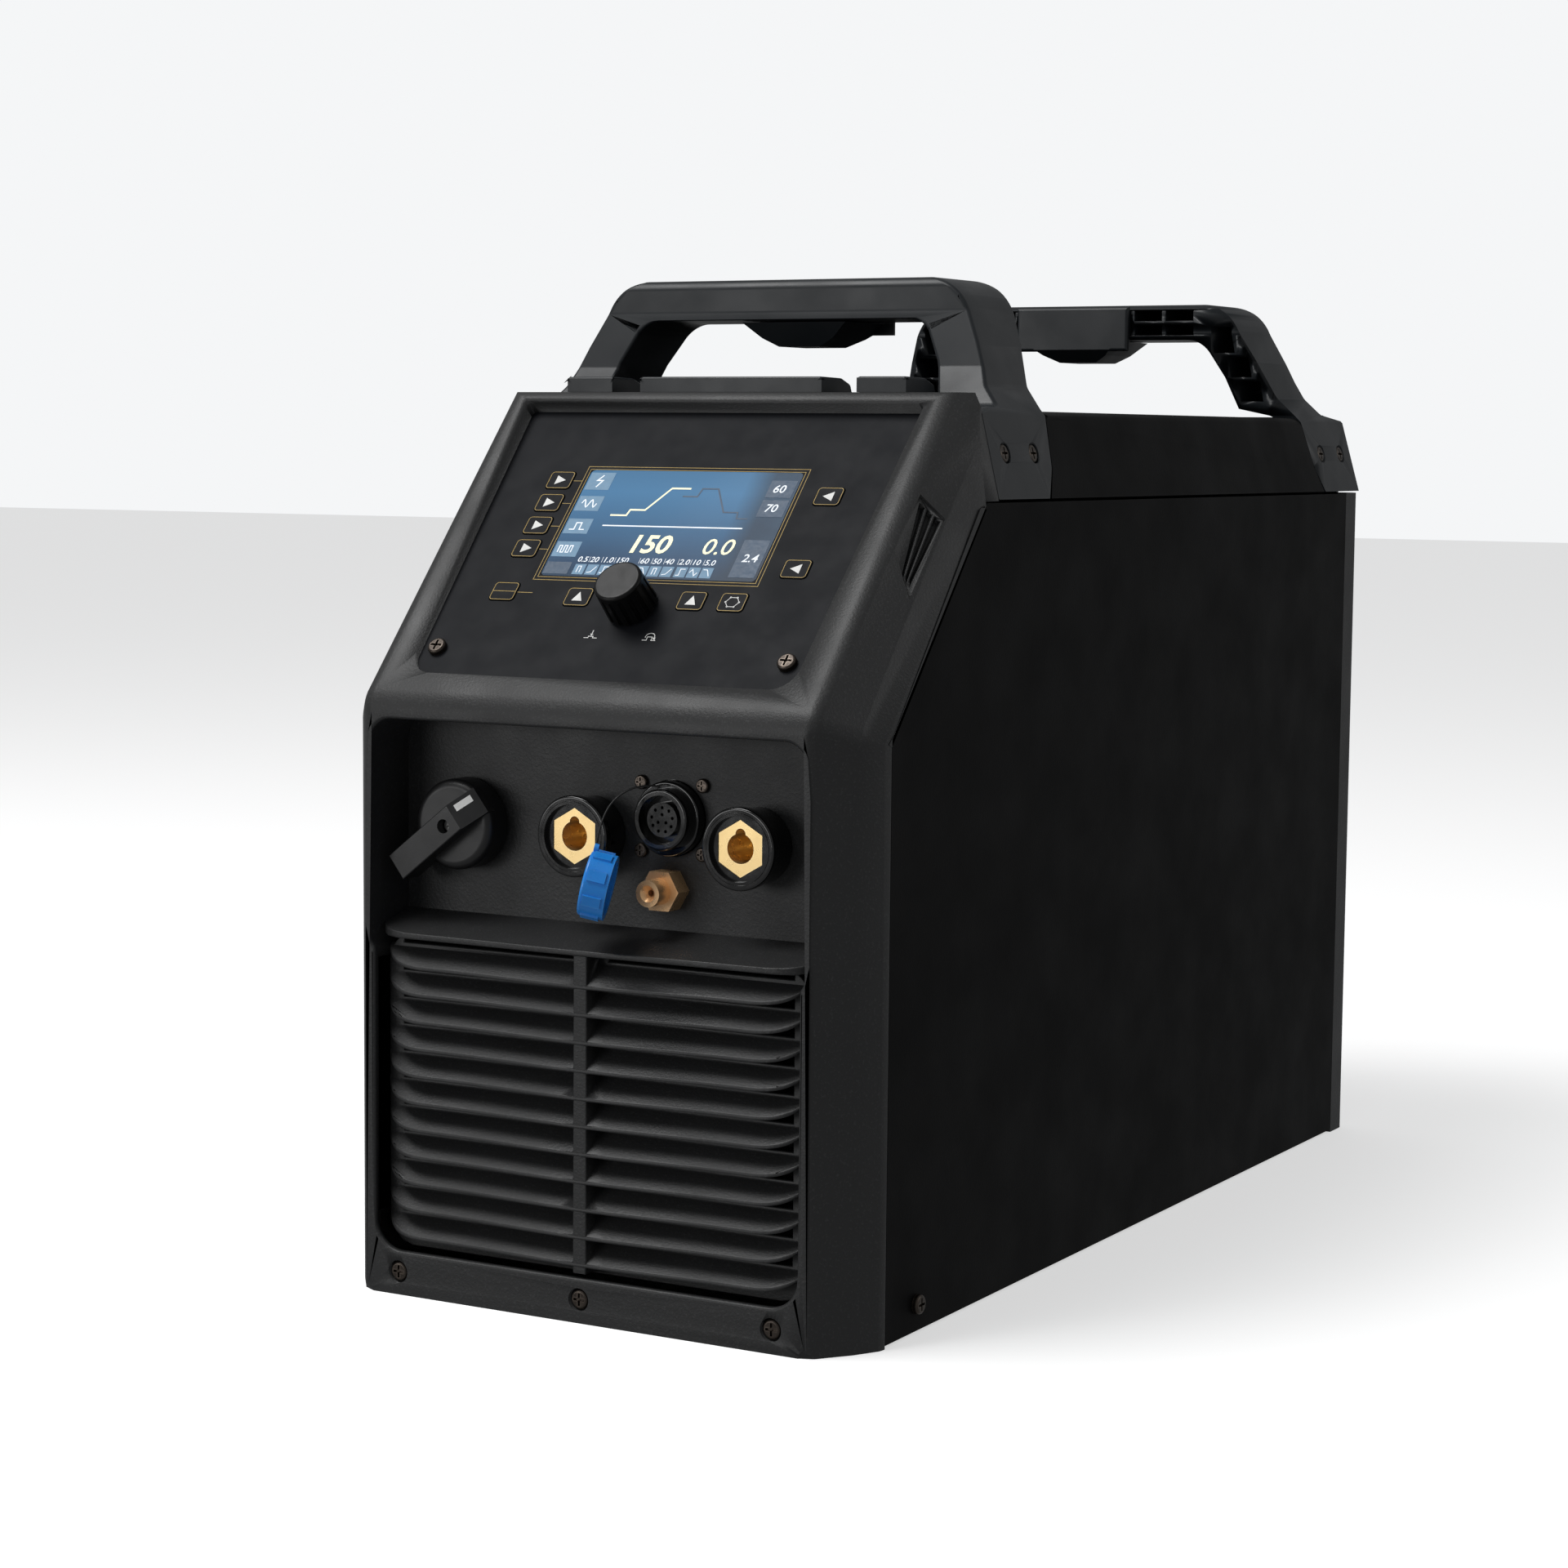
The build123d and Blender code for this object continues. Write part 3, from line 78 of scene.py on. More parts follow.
def add_node(tree, kind, inputs=None, **settings):
    node = tree.nodes.new(kind)
    for name, value in settings.items():
        setattr(node, name, value)
    set_inputs(node, inputs or {})
    return node


def remap(tree, source, low, high, to_low, to_high):
    """Maps a socket's values from low..high to to_low..to_high, with the ends held."""
    made = add_node(tree, "ShaderNodeMapRange", {
        "From Min": low, "From Max": high, "To Min": to_low, "To Max": to_high,
    })
    tree.links.new(source, made.inputs["Value"])
    return made.outputs["Result"]


# ---- camera, lights and floor ----
CAMERA_PLACE = (0.7909, -1.5229, 0.3857)
CAMERA_YAW = math.radians(29.5)
CAMERA_PITCH = math.radians(5.8)
CAMERA_ROLL = math.radians(0.5)
CAMERA_LENS = 77.64
BACKDROP_COLOUR = (0.96, 0.97, 0.98, 1)
BACKDROP_STRENGTH = 0.95       # as the camera sees the surroundings
BOUNCE_STRENGTH = 0.27         # as they light the machine
LIGHT_AIM = (0, -0.15, 0.25)
FLOOR_SIZE = 24


def make_camera():
    forward = Vector((
        -math.sin(CAMERA_YAW) * math.cos(CAMERA_PITCH),
        math.cos(CAMERA_YAW) * math.cos(CAMERA_PITCH),
        -math.sin(CAMERA_PITCH),
    ))
    right = Vector((math.cos(CAMERA_YAW), math.sin(CAMERA_YAW), 0))
    up = right.cross(forward)
    side = math.cos(CAMERA_ROLL) * right + math.sin(CAMERA_ROLL) * up
    top = math.cos(CAMERA_ROLL) * up - math.sin(CAMERA_ROLL) * right
    data = bpy.data.cameras.new("camera")
    data.lens = CAMERA_LENS
    data.sensor_width = 36
    data.clip_end = 30
    camera = add_object("camera", data)
    turn = Matrix((side, top, -forward)).transposed().to_4x4()
    camera.matrix_world = Matrix.Translation(CAMERA_PLACE) @ turn
    bpy.context.scene.camera = camera


def area_light(name, place, size, power):
    data = bpy.data.lights.new(name, "AREA")
    data.shape = "RECTANGLE"
    data.size, data.size_y = size
    data.energy = power
    light = add_object(name, data)
    light.location = place
    light.rotation_euler = (Vector(LIGHT_AIM) - Vector(place)).to_track_quat("-Z", "Y").to_euler()


def make_studio():
    """Pale backdrop that lights the machine only weakly, with a soft lamp above it and two at its sides."""
    world = bpy.data.worlds.new("studio")
    world.use_nodes = True
    tree = world.node_tree
    background = tree.nodes["Background"]
    background.inputs["Color"].default_value = BACKDROP_COLOUR
    ray = add_node(tree, "ShaderNodeLightPath")
    strength = remap(tree, ray.outputs["Is Camera Ray"], 0.0, 1.0, BOUNCE_STRENGTH, BACKDROP_STRENGTH)
    tree.links.new(strength, background.inputs["Strength"])
    bpy.context.scene.world = world
    bpy.context.scene.view_settings.view_transform = "Standard"
    area_light("key_light", place=(-1.0, -1.1, 2.6), size=(1.5, 1.5), power=52)
    area_light("front_fill", place=(-1.35, -2.7, 0.42), size=(1.7, 0.8), power=13)
    area_light("side_fill", place=(2.2, 0.9, 1.2), size=(1.6, 1.0), power=7)
    bpy.ops.mesh.primitive_plane_add(size=FLOOR_SIZE, location=(0, 0, 0))
    floor = bpy.context.object
    floor.name = "floor"
    floor.data.materials.append(plain_floor())
    floor.visible_diffuse = False
    floor.visible_glossy = False


def plain_floor():
    made, _, shader = new_material("floor_white")
    set_inputs(shader, {
        "Base Color": (0.9, 0.9, 0.9, 1), "Roughness": 0.8,
        "Emission Color": (1, 1, 1, 1), "Emission Strength": 0.5,
    })
    return made


# ---- materials ----
def noise(tree, scale, detail=3.0, rough=0.5):
    place = add_node(tree, "ShaderNodeTexCoord")
    made = add_node(tree, "ShaderNodeTexNoise", {"Scale": scale, "Detail": detail, "Roughness": rough})
    tree.links.new(place.outputs["Object"], made.inputs["Vector"])
    return made.outputs["Fac"]


def blend_colour(tree, amount, first, second):
    """Mixes two colours, or sockets that give colours, by amount."""
    made = add_node(tree, "ShaderNodeMix", data_type="RGBA")
    tree.links.new(amount, made.inputs["Factor"])
    for name, value in (("A", first), ("B", second)):
        socket = [s for s in made.inputs if s.name == name and s.type == "RGBA"][0]
        if isinstance(value, tuple):
            socket.default_value = (*value, 1)
        else:
            tree.links.new(value, socket)
    return [s for s in made.outputs if s.type == "RGBA"][0]


def scaled(colour, factor):
    return tuple(min(1.0, c * factor) for c in colour)


def edge_mask(tree, radius):
    """Near 1 along convex and concave edges, 0 on flat ground."""
    round_normal = add_node(tree, "ShaderNodeBevel", {"Radius": radius}, samples=4)
    flat = add_node(tree, "ShaderNodeNewGeometry")
    dot = add_node(tree, "ShaderNodeVectorMath", operation="DOT_PRODUCT")
    tree.links.new(round_normal.outputs["Normal"], dot.inputs[0])
    tree.links.new(flat.outputs["Normal"], dot.inputs[1])
    return remap(tree, dot.outputs["Value"], 0.995, 0.93, 0.0, 1.0)


ROUGH_SPREAD = 0.06            # how far a surface's roughness drifts to either side
WORN_EDGE = 0.0011             # metres


def finish(
    name, colour, rough, metallic=0.0, spread=0.15, cloud=14.0, grain=900.0, depth=0.00003,
    speck=0.0, wear=0.0, wear_colour=None, **sockets
):
    """A surface with cloudy colour, fine grain in height and colour, and edges rubbed lighter.

    The cloud and grain are noise scales, depth is the grain's height in metres, spread, speck and wear are
    strengths, and sockets are other inputs of the shader, in snake case.
    """
    made, tree, shader = new_material(name)
    shader.inputs["Metallic"].default_value = metallic
    for socket, value in sockets.items():
        shader.inputs[socket.replace("_", " ").title().replace("Ior", "IOR")].default_value = value
    clouds = noise(tree, cloud)
    fine = noise(tree, grain, 2.0, 0.6)
    amount = remap(tree, clouds, 0.3, 0.7, 0.0, 1.0)
    base = blend_colour(tree, amount, scaled(colour, 1 - spread), scaled(colour, 1 + spread))
    lighter = scaled(colour, 2.6)
    if speck:
        specks = remap(tree, fine, 0.56, 0.74, 0.0, speck)
        base = blend_colour(tree, specks, base, lighter)
    if wear:
        mask = edge_mask(tree, WORN_EDGE)
        patchy = add_node(tree, "ShaderNodeMath", operation="MULTIPLY")
        tree.links.new(mask, patchy.inputs[0])
        tree.links.new(remap(tree, noise(tree, 140.0), 0.35, 0.62, 0.15 * wear, wear), patchy.inputs[1])
        base = blend_colour(tree, patchy.outputs["Value"], base, wear_colour or lighter)
    tree.links.new(base, shader.inputs["Base Color"])
    roughness = remap(tree, noise(tree, cloud * 3.1), 0.3, 0.7, rough - ROUGH_SPREAD, rough + ROUGH_SPREAD)
    tree.links.new(roughness, shader.inputs["Roughness"])
    bump = add_node(tree, "ShaderNodeBump", {"Distance": depth, "Strength": 1.0})
    tree.links.new(fine, bump.inputs["Height"])
    tree.links.new(bump.outputs["Normal"], shader.inputs["Normal"])
    return made


def wound_copper(name, colour, pitch):
    """Lacquered wire: fine ridges along the winding, one every pitch metres."""
    made = finish(
        name, colour, rough=0.32, metallic=0.9, spread=0.2, cloud=40.0, grain=1200.0, depth=0.00002
    )
    tree = made.node_tree
    wave = add_node(tree, "ShaderNodeTexWave", {"Scale": 1.0 / pitch / 6.28, "Distortion": 0.6})
    place = add_node(tree, "ShaderNodeTexCoord")
    tree.links.new(place.outputs["Object"], wave.inputs["Vector"])
    bump = add_node(tree, "ShaderNodeBump", {"Distance": 0.0006, "Strength": 0.8})
    tree.links.new(wave.outputs["Fac"], bump.inputs["Height"])
    tree.links.new(bump.outputs["Normal"], tree.nodes["Principled BSDF"].inputs["Normal"])
    return made


def glowing_display():
    """Lit display behind its pane: steel blue, darker towards the bottom and the right edge."""
    made, tree, shader = new_material("display_blue")
    low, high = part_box("display_window")
    place = add_node(tree, "ShaderNodeTexCoord")
    split = add_node(tree, "ShaderNodeSeparateXYZ")
    tree.links.new(place.outputs["Object"], split.inputs[0])
    height = remap(tree, split.outputs["Z"], low.z, high.z, 0.0, 1.0)
    ramp = add_node(tree, "ShaderNodeValToRGB")
    stops = (
        (0.0, (0.006, 0.022, 0.050)), (0.16, (0.010, 0.040, 0.092)), (0.45, (0.024, 0.090, 0.185)),
        (0.8, (0.043, 0.148, 0.285)), (1.0, (0.038, 0.130, 0.250)),
    )
    ramp.color_ramp.elements[0].color = (*stops[0][1], 1)
    ramp.color_ramp.elements[1].color = (*stops[-1][1], 1)
    for position, colour in stops[1:-1]:
        ramp.color_ramp.elements.new(position).color = (*colour, 1)
    tree.links.new(height, ramp.inputs["Fac"])
    width = high.x - low.x
    right_fade = remap(tree, split.outputs["X"], high.x - 0.24 * width, high.x - 0.12 * width, 0.0, 0.8)
    picture = blend_colour(tree, right_fade, ramp.outputs["Color"], (0.007, 0.014, 0.026))
    haze = remap(tree, noise(tree, 60.0), 0.3, 0.7, 0.0, 0.08)
    soft = blend_colour(tree, haze, picture, (0.06, 0.17, 0.29))
    tree.links.new(soft, shader.inputs["Base Color"])
    tree.links.new(soft, shader.inputs["Emission Color"])
    set_inputs(shader, {
        "Emission Strength": 0.35, "Roughness": 0.3, "Specular IOR Level": 0.12,
        "Coat Weight": 0.04, "Coat Roughness": 0.05,
    })
    return made


def printed(name, colour, glow=0.0):
    """Screen-printed or lit lines, with the slight unevenness of ink."""
    made = finish(name, colour, rough=0.45, spread=0.08, cloud=200.0, grain=2500.0, depth=0.000008)
    if glow:
        shader = made.node_tree.nodes["Principled BSDF"]
        set_inputs(shader, {"Emission Color": (*colour, 1), "Emission Strength": glow})
    return made


def make_materials():
    steel = (0.42, 0.42, 0.41)
    return {
        "fascia_plastic": finish(
            "fascia_plastic", (0.0205, 0.0208, 0.0212), rough=0.47, spread=0.06, cloud=9.0,
            grain=850.0, depth=0.00014, speck=0.5, wear=0.2, wear_colour=(0.04, 0.04, 0.042),
            specular_ior_level=0.38,
        ),
        "handle_plastic": finish(
            "handle_plastic", (0.0105, 0.0130, 0.0155), rough=0.40, spread=0.06, cloud=12.0,
            grain=2200.0, wear=0.25, wear_colour=(0.035, 0.04, 0.045), specular_ior_level=0.4,
        ),
        "cover_paint": finish(
            "cover_paint", (0.0016, 0.0016, 0.0017), rough=0.5, spread=0.06, cloud=8.0, grain=1100.0,
            depth=0.00005, wear=0.2, wear_colour=(0.02, 0.02, 0.02), specular_ior_level=0.06,
        ),
        "overlay_black": finish(
            "overlay_black", (0.0095, 0.0103, 0.0125), rough=0.5, spread=0.04, cloud=20.0,
            grain=2400.0, depth=0.000008, specular_ior_level=0.08,
        ),
        "window_glass": glowing_display(),
        "display_blue": finish("display_case", (0.05, 0.055, 0.06), rough=0.4, metallic=0.6),
        "key_black": finish(
            "key_black", (0.0098, 0.0106, 0.0129), rough=0.5, spread=0.04, cloud=40.0, grain=2400.0,
            depth=0.000008, specular_ior_level=0.08,
        ),
        "knob_black": finish(
            "knob_black", (0.0035, 0.0035, 0.0037), rough=0.34, spread=0.06, cloud=60.0, grain=1800.0,
            depth=0.00001, wear=0.2, wear_colour=(0.03, 0.03, 0.03), specular_ior_level=0.22,
        ),
        "switch_grey": finish(
            "switch_grey", (0.0075, 0.0075, 0.008), rough=0.38, spread=0.1, cloud=30.0, grain=1600.0,
            depth=0.00002, wear=0.3, wear_colour=(0.035, 0.035, 0.035),
        ),
        "insulator_black": finish(
            "insulator_black", (0.0035, 0.0035, 0.0035), rough=0.14, spread=0.1, cloud=40.0,
            depth=0.000006, coat_weight=0.4, coat_roughness=0.08,
        ),
        "brass": finish(
            "brass", (0.93, 0.68, 0.32), rough=0.3, metallic=0.85, spread=0.05, cloud=70.0,
            grain=1500.0, depth=0.000001, wear=0.35, wear_colour=(1.0, 0.86, 0.55),
        ),
        # painted light: a brighter, less metallic copy of the brass for the gas nipple, so that it shows
        # the bright gold of its reflections where real brass would mirror the dark recess
        "gas_brass": finish(
            "gas_brass", (1.0, 0.62, 0.32), rough=0.3, metallic=0.66, spread=0.04, cloud=70.0,
            grain=1500.0, depth=0.000001, wear=0.3, wear_colour=(1.0, 0.72, 0.45),
        ),
        "cap_blue": finish(
            "cap_blue", (0.02, 0.26, 0.80), rough=0.3, spread=0.06, cloud=60.0, grain=1500.0,
            depth=0.000012, wear=0.4, wear_colour=(0.12, 0.42, 0.85), subsurface_weight=0.05,
        ),
        "lanyard_black": finish(
            "lanyard_black", (0.01, 0.01, 0.01), rough=0.5, spread=0.2, cloud=200.0, grain=3000.0,
            depth=0.00004,
        ),
        "screw_steel": finish(
            "screw_steel", steel, rough=0.3, metallic=1.0, spread=0.12, cloud=120.0, grain=1600.0,
            depth=0.00001, wear=0.4,
        ),
        "screw_dark": finish(
            "screw_dark", (0.055, 0.045, 0.038), rough=0.34, metallic=0.9, spread=0.12, cloud=120.0,
            grain=1600.0, depth=0.00001, wear=0.6, wear_colour=(0.28, 0.23, 0.19),
        ),
        "zinc_steel": finish(
            "zinc_steel", (0.5, 0.5, 0.48), rough=0.34, metallic=0.95, spread=0.2, cloud=60.0,
            depth=0.00001, wear=0.2,
        ),
        "aluminium_plain": finish(
            "aluminium_plain", (0.66, 0.67, 0.68), rough=0.3, metallic=1.0, spread=0.08, cloud=50.0,
            grain=1400.0, depth=0.00002,
        ),
        "board_green": finish(
            "board_green", (0.012, 0.11, 0.05), rough=0.36, spread=0.25, cloud=160.0, grain=1400.0,
        ),
        "capacitor_black": finish("capacitor_black", (0.015, 0.017, 0.03), rough=0.25, cloud=60.0),
        "core_dark": finish(
            "core_dark", (0.03, 0.03, 0.032), rough=0.62, metallic=0.3, spread=0.25, cloud=90.0,
            grain=700.0, depth=0.00006, wear=0.3,
        ),
        "copper_coil": wound_copper("copper_coil", (0.62, 0.2, 0.07), 0.0012),
        "spring_steel": finish(
            "spring_steel", steel, rough=0.24, metallic=1.0, spread=0.12, cloud=300.0, grain=2500.0,
            depth=0.00001,
        ),
        "gland_black": finish(
            "gland_black", (0.012, 0.012, 0.012), rough=0.48, cloud=50.0, grain=1300.0, depth=0.00004,
            wear=0.4,
        ),
        "print_gold": printed("print_gold", (0.42, 0.27, 0.035)),
        "print_white": printed("print_white", (0.78, 0.78, 0.76)),
        "lit_cream": printed("lit_cream", (0.84, 0.82, 0.55), 0.4),
        "lit_white": printed("lit_white", (0.74, 0.79, 0.84), 0.35),
        "lit_blue": printed("lit_blue", (0.085, 0.19, 0.30), 0.35),
        "lit_dark": printed("lit_dark", (0.010, 0.040, 0.085), 0.3),
    }


materials = make_materials()


def node_slots():
    """The material slot of each CAD node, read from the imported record."""
    return {row["node"]: row["material_slot"] for row in frame["record"]["subparts"]}


def dress_nodes():
    for name, obj in frame["nodes"].items():
        made = materials[node_slot[name]]
        if not obj.material_slots:
            obj.data.materials.append(made)
        for place in obj.material_slots:
            place.material = made


# ---- mesh helpers ----
WELD_REACH = 0.00001                   # metres
FLAT_BELOW = math.radians(0.6)         # faces closer than this are one flat face
ROUNDED_ABOVE = math.radians(14)       # a shallower edge is part of a curve already
SMOOTH_BELOW = math.radians(40)        # faces closer than this shade as one surface


def new_piece(name, mesh, material, body):
    mesh.materials.clear()
    mesh.materials.append(materials[material])
    piece = add_object(name, mesh)
    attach(piece, body)
    return piece


def clean_copy(node):
    """A copy of a CAD node's mesh with welded corners and its flat faces whole again."""
    mesh = frame["nodes"][node].data.copy()
    built = bmesh.new()
    built.from_mesh(mesh)
    bmesh.ops.remove_doubles(built, verts=built.verts, dist=WELD_REACH)
    bmesh.ops.dissolve_limit(
        built, angle_limit=FLAT_BELOW, verts=built.verts, edges=built.edges, delimit={"NORMAL"}
    )
    built.to_mesh(mesh)
    built.free()
    return mesh


def mesh_of(name, built):
    """Ends a bmesh: a mesh with its faces turned outwards."""
    bmesh.ops.recalc_face_normals(built, faces=built.faces)
    mesh = bpy.data.meshes.new(name)
    built.to_mesh(mesh)
    built.free()
    return mesh


def smooth_shade(mesh):
    mesh.shade_smooth()
    mesh.set_sharp_from_angle(angle=SMOOTH_BELOW)


def apply_modifiers(piece):
    bpy.context.view_layer.update()
    graph = bpy.context.evaluated_depsgraph_get()
    solid = bpy.data.meshes.new_from_object(piece.evaluated_get(graph))
    piece.modifiers.clear()
    piece.data = solid


def body_of(node):
    return next(body for body, nodes in frame["record"]["behaviour"]["bodies"].items() if node in nodes)


def round_edges(node, width_of, widest, segments=3):
    """Replaces a CAD node by a copy with rounded edges.

    width_of(edge) gives each edge's width in millimetres, from 0 for a sharp edge up to widest.
    """
    mesh = clean_copy(node)
    built = bmesh.new()
    built.from_mesh(mesh)
    bmesh.ops.triangulate(built, faces=built.faces)
    weight = built.edges.layers.float.new("bevel_weight_edge")
    for edge in built.edges:
        if len(edge.link_faces) == 2 and edge.is_convex and edge.calc_face_angle() > ROUNDED_ABOVE:
            edge[weight] = width_of(edge) / widest
    built.to_mesh(mesh)
    built.free()
    piece = new_piece(node + "_rounded", mesh, node_slot[node], body_of(node))
    bevel = piece.modifiers.new("round", "BEVEL")
    bevel.limit_method = "WEIGHT"
    bevel.width = widest * MM
    bevel.segments = segments
    bevel.use_clamp_overlap = False
    apply_modifiers(piece)
    smooth_shade(piece.data)
    piece.modifiers.new("level", "WEIGHTED_NORMAL").keep_sharp = True
    apply_modifiers(piece)
    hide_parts(node)


node_slot = node_slots()
make_camera()
make_studio()
dress_nodes()


# ---- edges of the mouldings ----
# Places in the row frame and widths, all in millimetres.
NEAR = 0.05                    # two places closer than this are the same
FRONT_Y = -304.0               # front face of the fascia
CREASE_Z = 270.0               # where the front face meets the control slope
FRONT_EDGE_X = 114.5           # where the front face meets the cheek beside it
CHEEK_X = 127.0                # an edge from the front face to beyond this runs across the cheek
SIDE_X = 134.9                 # the cheek's outer edge lies beyond this
SIDE_FRONT_Y = -273.0          # that edge is rounded in front of this
SIDE_TOP_Z = 258.0             # and above this
FASCIA_BACK_Y = -180.0         # and nothing is rounded behind this, apart from the lip
FASCIA_FOOT_Z = 1.0            # edges on the ground stay sharp
BASE_SCREWS_TOP_Z = 17.5       # below this the front face's rims stay sharp, as the screws sit there
LIP_Z = 407.4                  # top edge of the fascia
COVER_TOP_Z = 397.9
HANDLE_FOOT_Z = 399.0          # a handle's edges below this belong to its feet
LONG_EDGE = 100.0
FASCIA_CORNER, FASCIA_SIDE, FASCIA_CREASE, FASCIA_RIM = 4.0, 3.0, 6.0, 1.5
HANDLE_EDGE, HANDLE_FOOT_EDGE = 1.8, 0.6
GRILLE_EDGE = 0.55
PAD_EDGE = 1.2
COVER_EDGE = 2.4


def ends(edge):
    return [vert.co / MM for vert in edge.verts]


def facing(edge, sign):
    """How far the more forward of an edge's two faces looks towards -Y (sign 1) or +Y (sign -1)."""
    return max(-sign * face.normal.y for face in edge.link_faces)


def fascia_width(edge):
    """The corners of the cheeks, the crease, the rims of the front face and the lip."""
    a, b = ends(edge)
    near, far = sorted((abs(a.x), abs(b.x)))
    rearmost = max(a.y, b.y)
    lowest, highest = sorted((a.z, b.z))
    if a.x * b.x > 0 and rearmost < FASCIA_BACK_Y and highest > FASCIA_FOOT_Z:
        if abs(near - FRONT_EDGE_X) < NEAR and (far - FRONT_EDGE_X < NEAR or far > CHEEK_X):
            return FASCIA_CORNER
        if near > SIDE_X and (rearmost < SIDE_FRONT_Y or lowest > SIDE_TOP_Z):
            return FASCIA_SIDE
    if rearmost < FRONT_Y + 0.01:
        if lowest > CREASE_Z - 0.1:
            return FASCIA_CREASE
        return FASCIA_RIM if lowest > BASE_SCREWS_TOP_Z else 0.0
    if lowest > LIP_Z and facing(edge, 1) > 0.5 and abs(a.x - b.x) > LONG_EDGE:
        return FASCIA_SIDE
    return 0.0


def handle_width(sign):
    def width(edge):
        a, b = ends(edge)
        if facing(edge, sign) <= 0.5:
            return 0.0
        return HANDLE_FOOT_EDGE if max(a.z, b.z) < HANDLE_FOOT_Z else HANDLE_EDGE
    return width


def grille_width(edge):
    return GRILLE_EDGE if facing(edge, 1) > 0.5 else 0.0


def pad_width(edge):
    return PAD_EDGE if max(face.normal.z for face in edge.link_faces) > 0.6 else 0.0


def cover_width(edge):
    a, b = ends(edge)
    return COVER_EDGE if min(a.z, b.z) > COVER_TOP_Z and abs(a.y - b.y) > LONG_EDGE else 0.0


round_edges("front_fascia", fascia_width, FASCIA_CREASE, segments=4)
round_edges("handle_front", handle_width(1), HANDLE_EDGE)
round_edges("handle_rear", handle_width(-1), HANDLE_EDGE)
round_edges("front_grille", grille_width, GRILLE_EDGE, segments=2)
round_edges("top_pads", pad_width, PAD_EDGE)
round_edges("top_cover", cover_width, COVER_EDGE)


# ---- the gas valve's return spring ----
def squashed_spring(node):
    """A smooth-shaded copy of the spring in place of its CAD node. The real spring shortens by 2.1 mm
    towards its upper end as the plunger rises by 2 mm; this copy keeps its length.
    """
    piece = new_piece(node + "_coil", clean_copy(node), node_slot[node], body_of(node))
    smooth_shade(piece.data)
    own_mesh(piece)
    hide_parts(node)


squashed_spring("gas_valve_spring")


# ---- control panel prints ----
# A place on the panel is x across it and t up its slope, in millimetres.
PANEL_SLOPE = math.radians(47.2)
ACROSS = Vector((1, 0, 0))
UP_SLOPE = Vector((0, math.cos(PANEL_SLOPE), math.sin(PANEL_SLOPE)))
OUTWARD = Vector((0, -math.sin(PANEL_SLOPE), math.cos(PANEL_SLOPE)))
WINDOW_T = 65.5                # middle of the window
WINDOW_OUT = -0.75             # middle of its pane, from the panel's face
PRINT_THICK = 0.06


def panel_point(x, t, out=0.0):
    """The point at x and t, out millimetres in front of the panel's face."""
    low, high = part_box("display_window")
    middle = (low + high) / 2
    return middle + (ACROSS * x + UP_SLOPE * (t - WINDOW_T) + OUTWARD * (out - WINDOW_OUT)) * MM


def prism_piece(name, loops, out, material, body):
    """Thin raised print made of flat outlines, each a list of panel points, standing on height out."""
    built = bmesh.new()
    for loop in loops:
        low = [built.verts.new(panel_point(x, t, out)) for x, t in loop]
        high = [built.verts.new(panel_point(x, t, out + PRINT_THICK)) for x, t in loop]
        built.faces.new(high)
        built.faces.new(list(reversed(low)))
        for i in range(len(loop)):
            j = (i + 1) % len(loop)
            built.faces.new((low[i], low[j], high[j], high[i]))
    new_piece(name, mesh_of(name, built), material, body)


SHARPEST_MITRE = 0.35          # keeps a sharp corner's point short


def stroke(points, width, closed=False):
    """Quads that follow a polyline with mitred corners."""
    count = len(points)
    sides = []
    for i in range(count):
        here = Vector(points[i])
        before = Vector(points[i - 1]) if closed or i > 0 else None
        after = Vector(points[(i + 1) % count]) if closed or i < count - 1 else None
        first = (here - before).normalized() if before is not None else (after - here).normalized()
        second = (after - here).normalized() if after is not None else first
        normal_a = Vector((-first.y, first.x))
        normal_b = Vector((-second.y, second.x))
        mitre = (normal_a + normal_b).normalized()
        reach = width / 2 / max(SHARPEST_MITRE, mitre.dot(normal_a))
        sides.append((here + mitre * reach, here - mitre * reach))
    spans = count if closed else count - 1
    loops = []
    for i in range(spans):
        a, b = sides[i]
        d, c = sides[(i + 1) % count]
        loops.append([tuple(b), tuple(c), tuple(d), tuple(a)])
    return loops


def box_loop(x0, x1, t0, t1):
    return [(x0, t0), (x1, t0), (x1, t1), (x0, t1)]


def rounded_box(x0, x1, t0, t1, r, steps=5):
    points = []
    corners = ((x1 - r, t1 - r, 0), (x0 + r, t1 - r, 90), (x0 + r, t0 + r, 180), (x1 - r, t0 + r, 270))
    for cx, ct, start in corners:
        for i in range(steps + 1):
            angle = math.radians(start + 90 * i / steps)
            points.append((cx + r * math.cos(angle), ct + r * math.sin(angle)))
    return points


def arc(x, t, rx, rt, degrees):
    """Points of an ellipse about (x, t) at the given angles."""
    return [(x + rx * math.cos(math.radians(a)), t + rt * math.sin(math.radians(a))) for a in degrees]


KEY_HALF_W = 6.6
KEY_HALF_H = 5.3
KEY_TOP = 0.5
KEY_BORDER = 0.45              # from a key's edge to the line around it
GOLD_LINE = 0.28
TRIANGLE = ((2.9, 0), (-2.3, 2.7), (-2.3, -2.7))
MARK_TURNS = {
    "key_mode_1": 0, "key_mode_2": 0, "key_mode_3": 0, "key_mode_4": 0,
    "key_page_up": 180, "key_page_down": 180, "key_step_left": 90, "key_step_right": 90,
}


def key_middle(name):
    """A key's place on the panel, from its CAD box."""
    low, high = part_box(name)
    middle = (low + high) / 2 - panel_point(0, 0)
    return (middle.x / MM, middle.dot(UP_SLOPE) / MM)


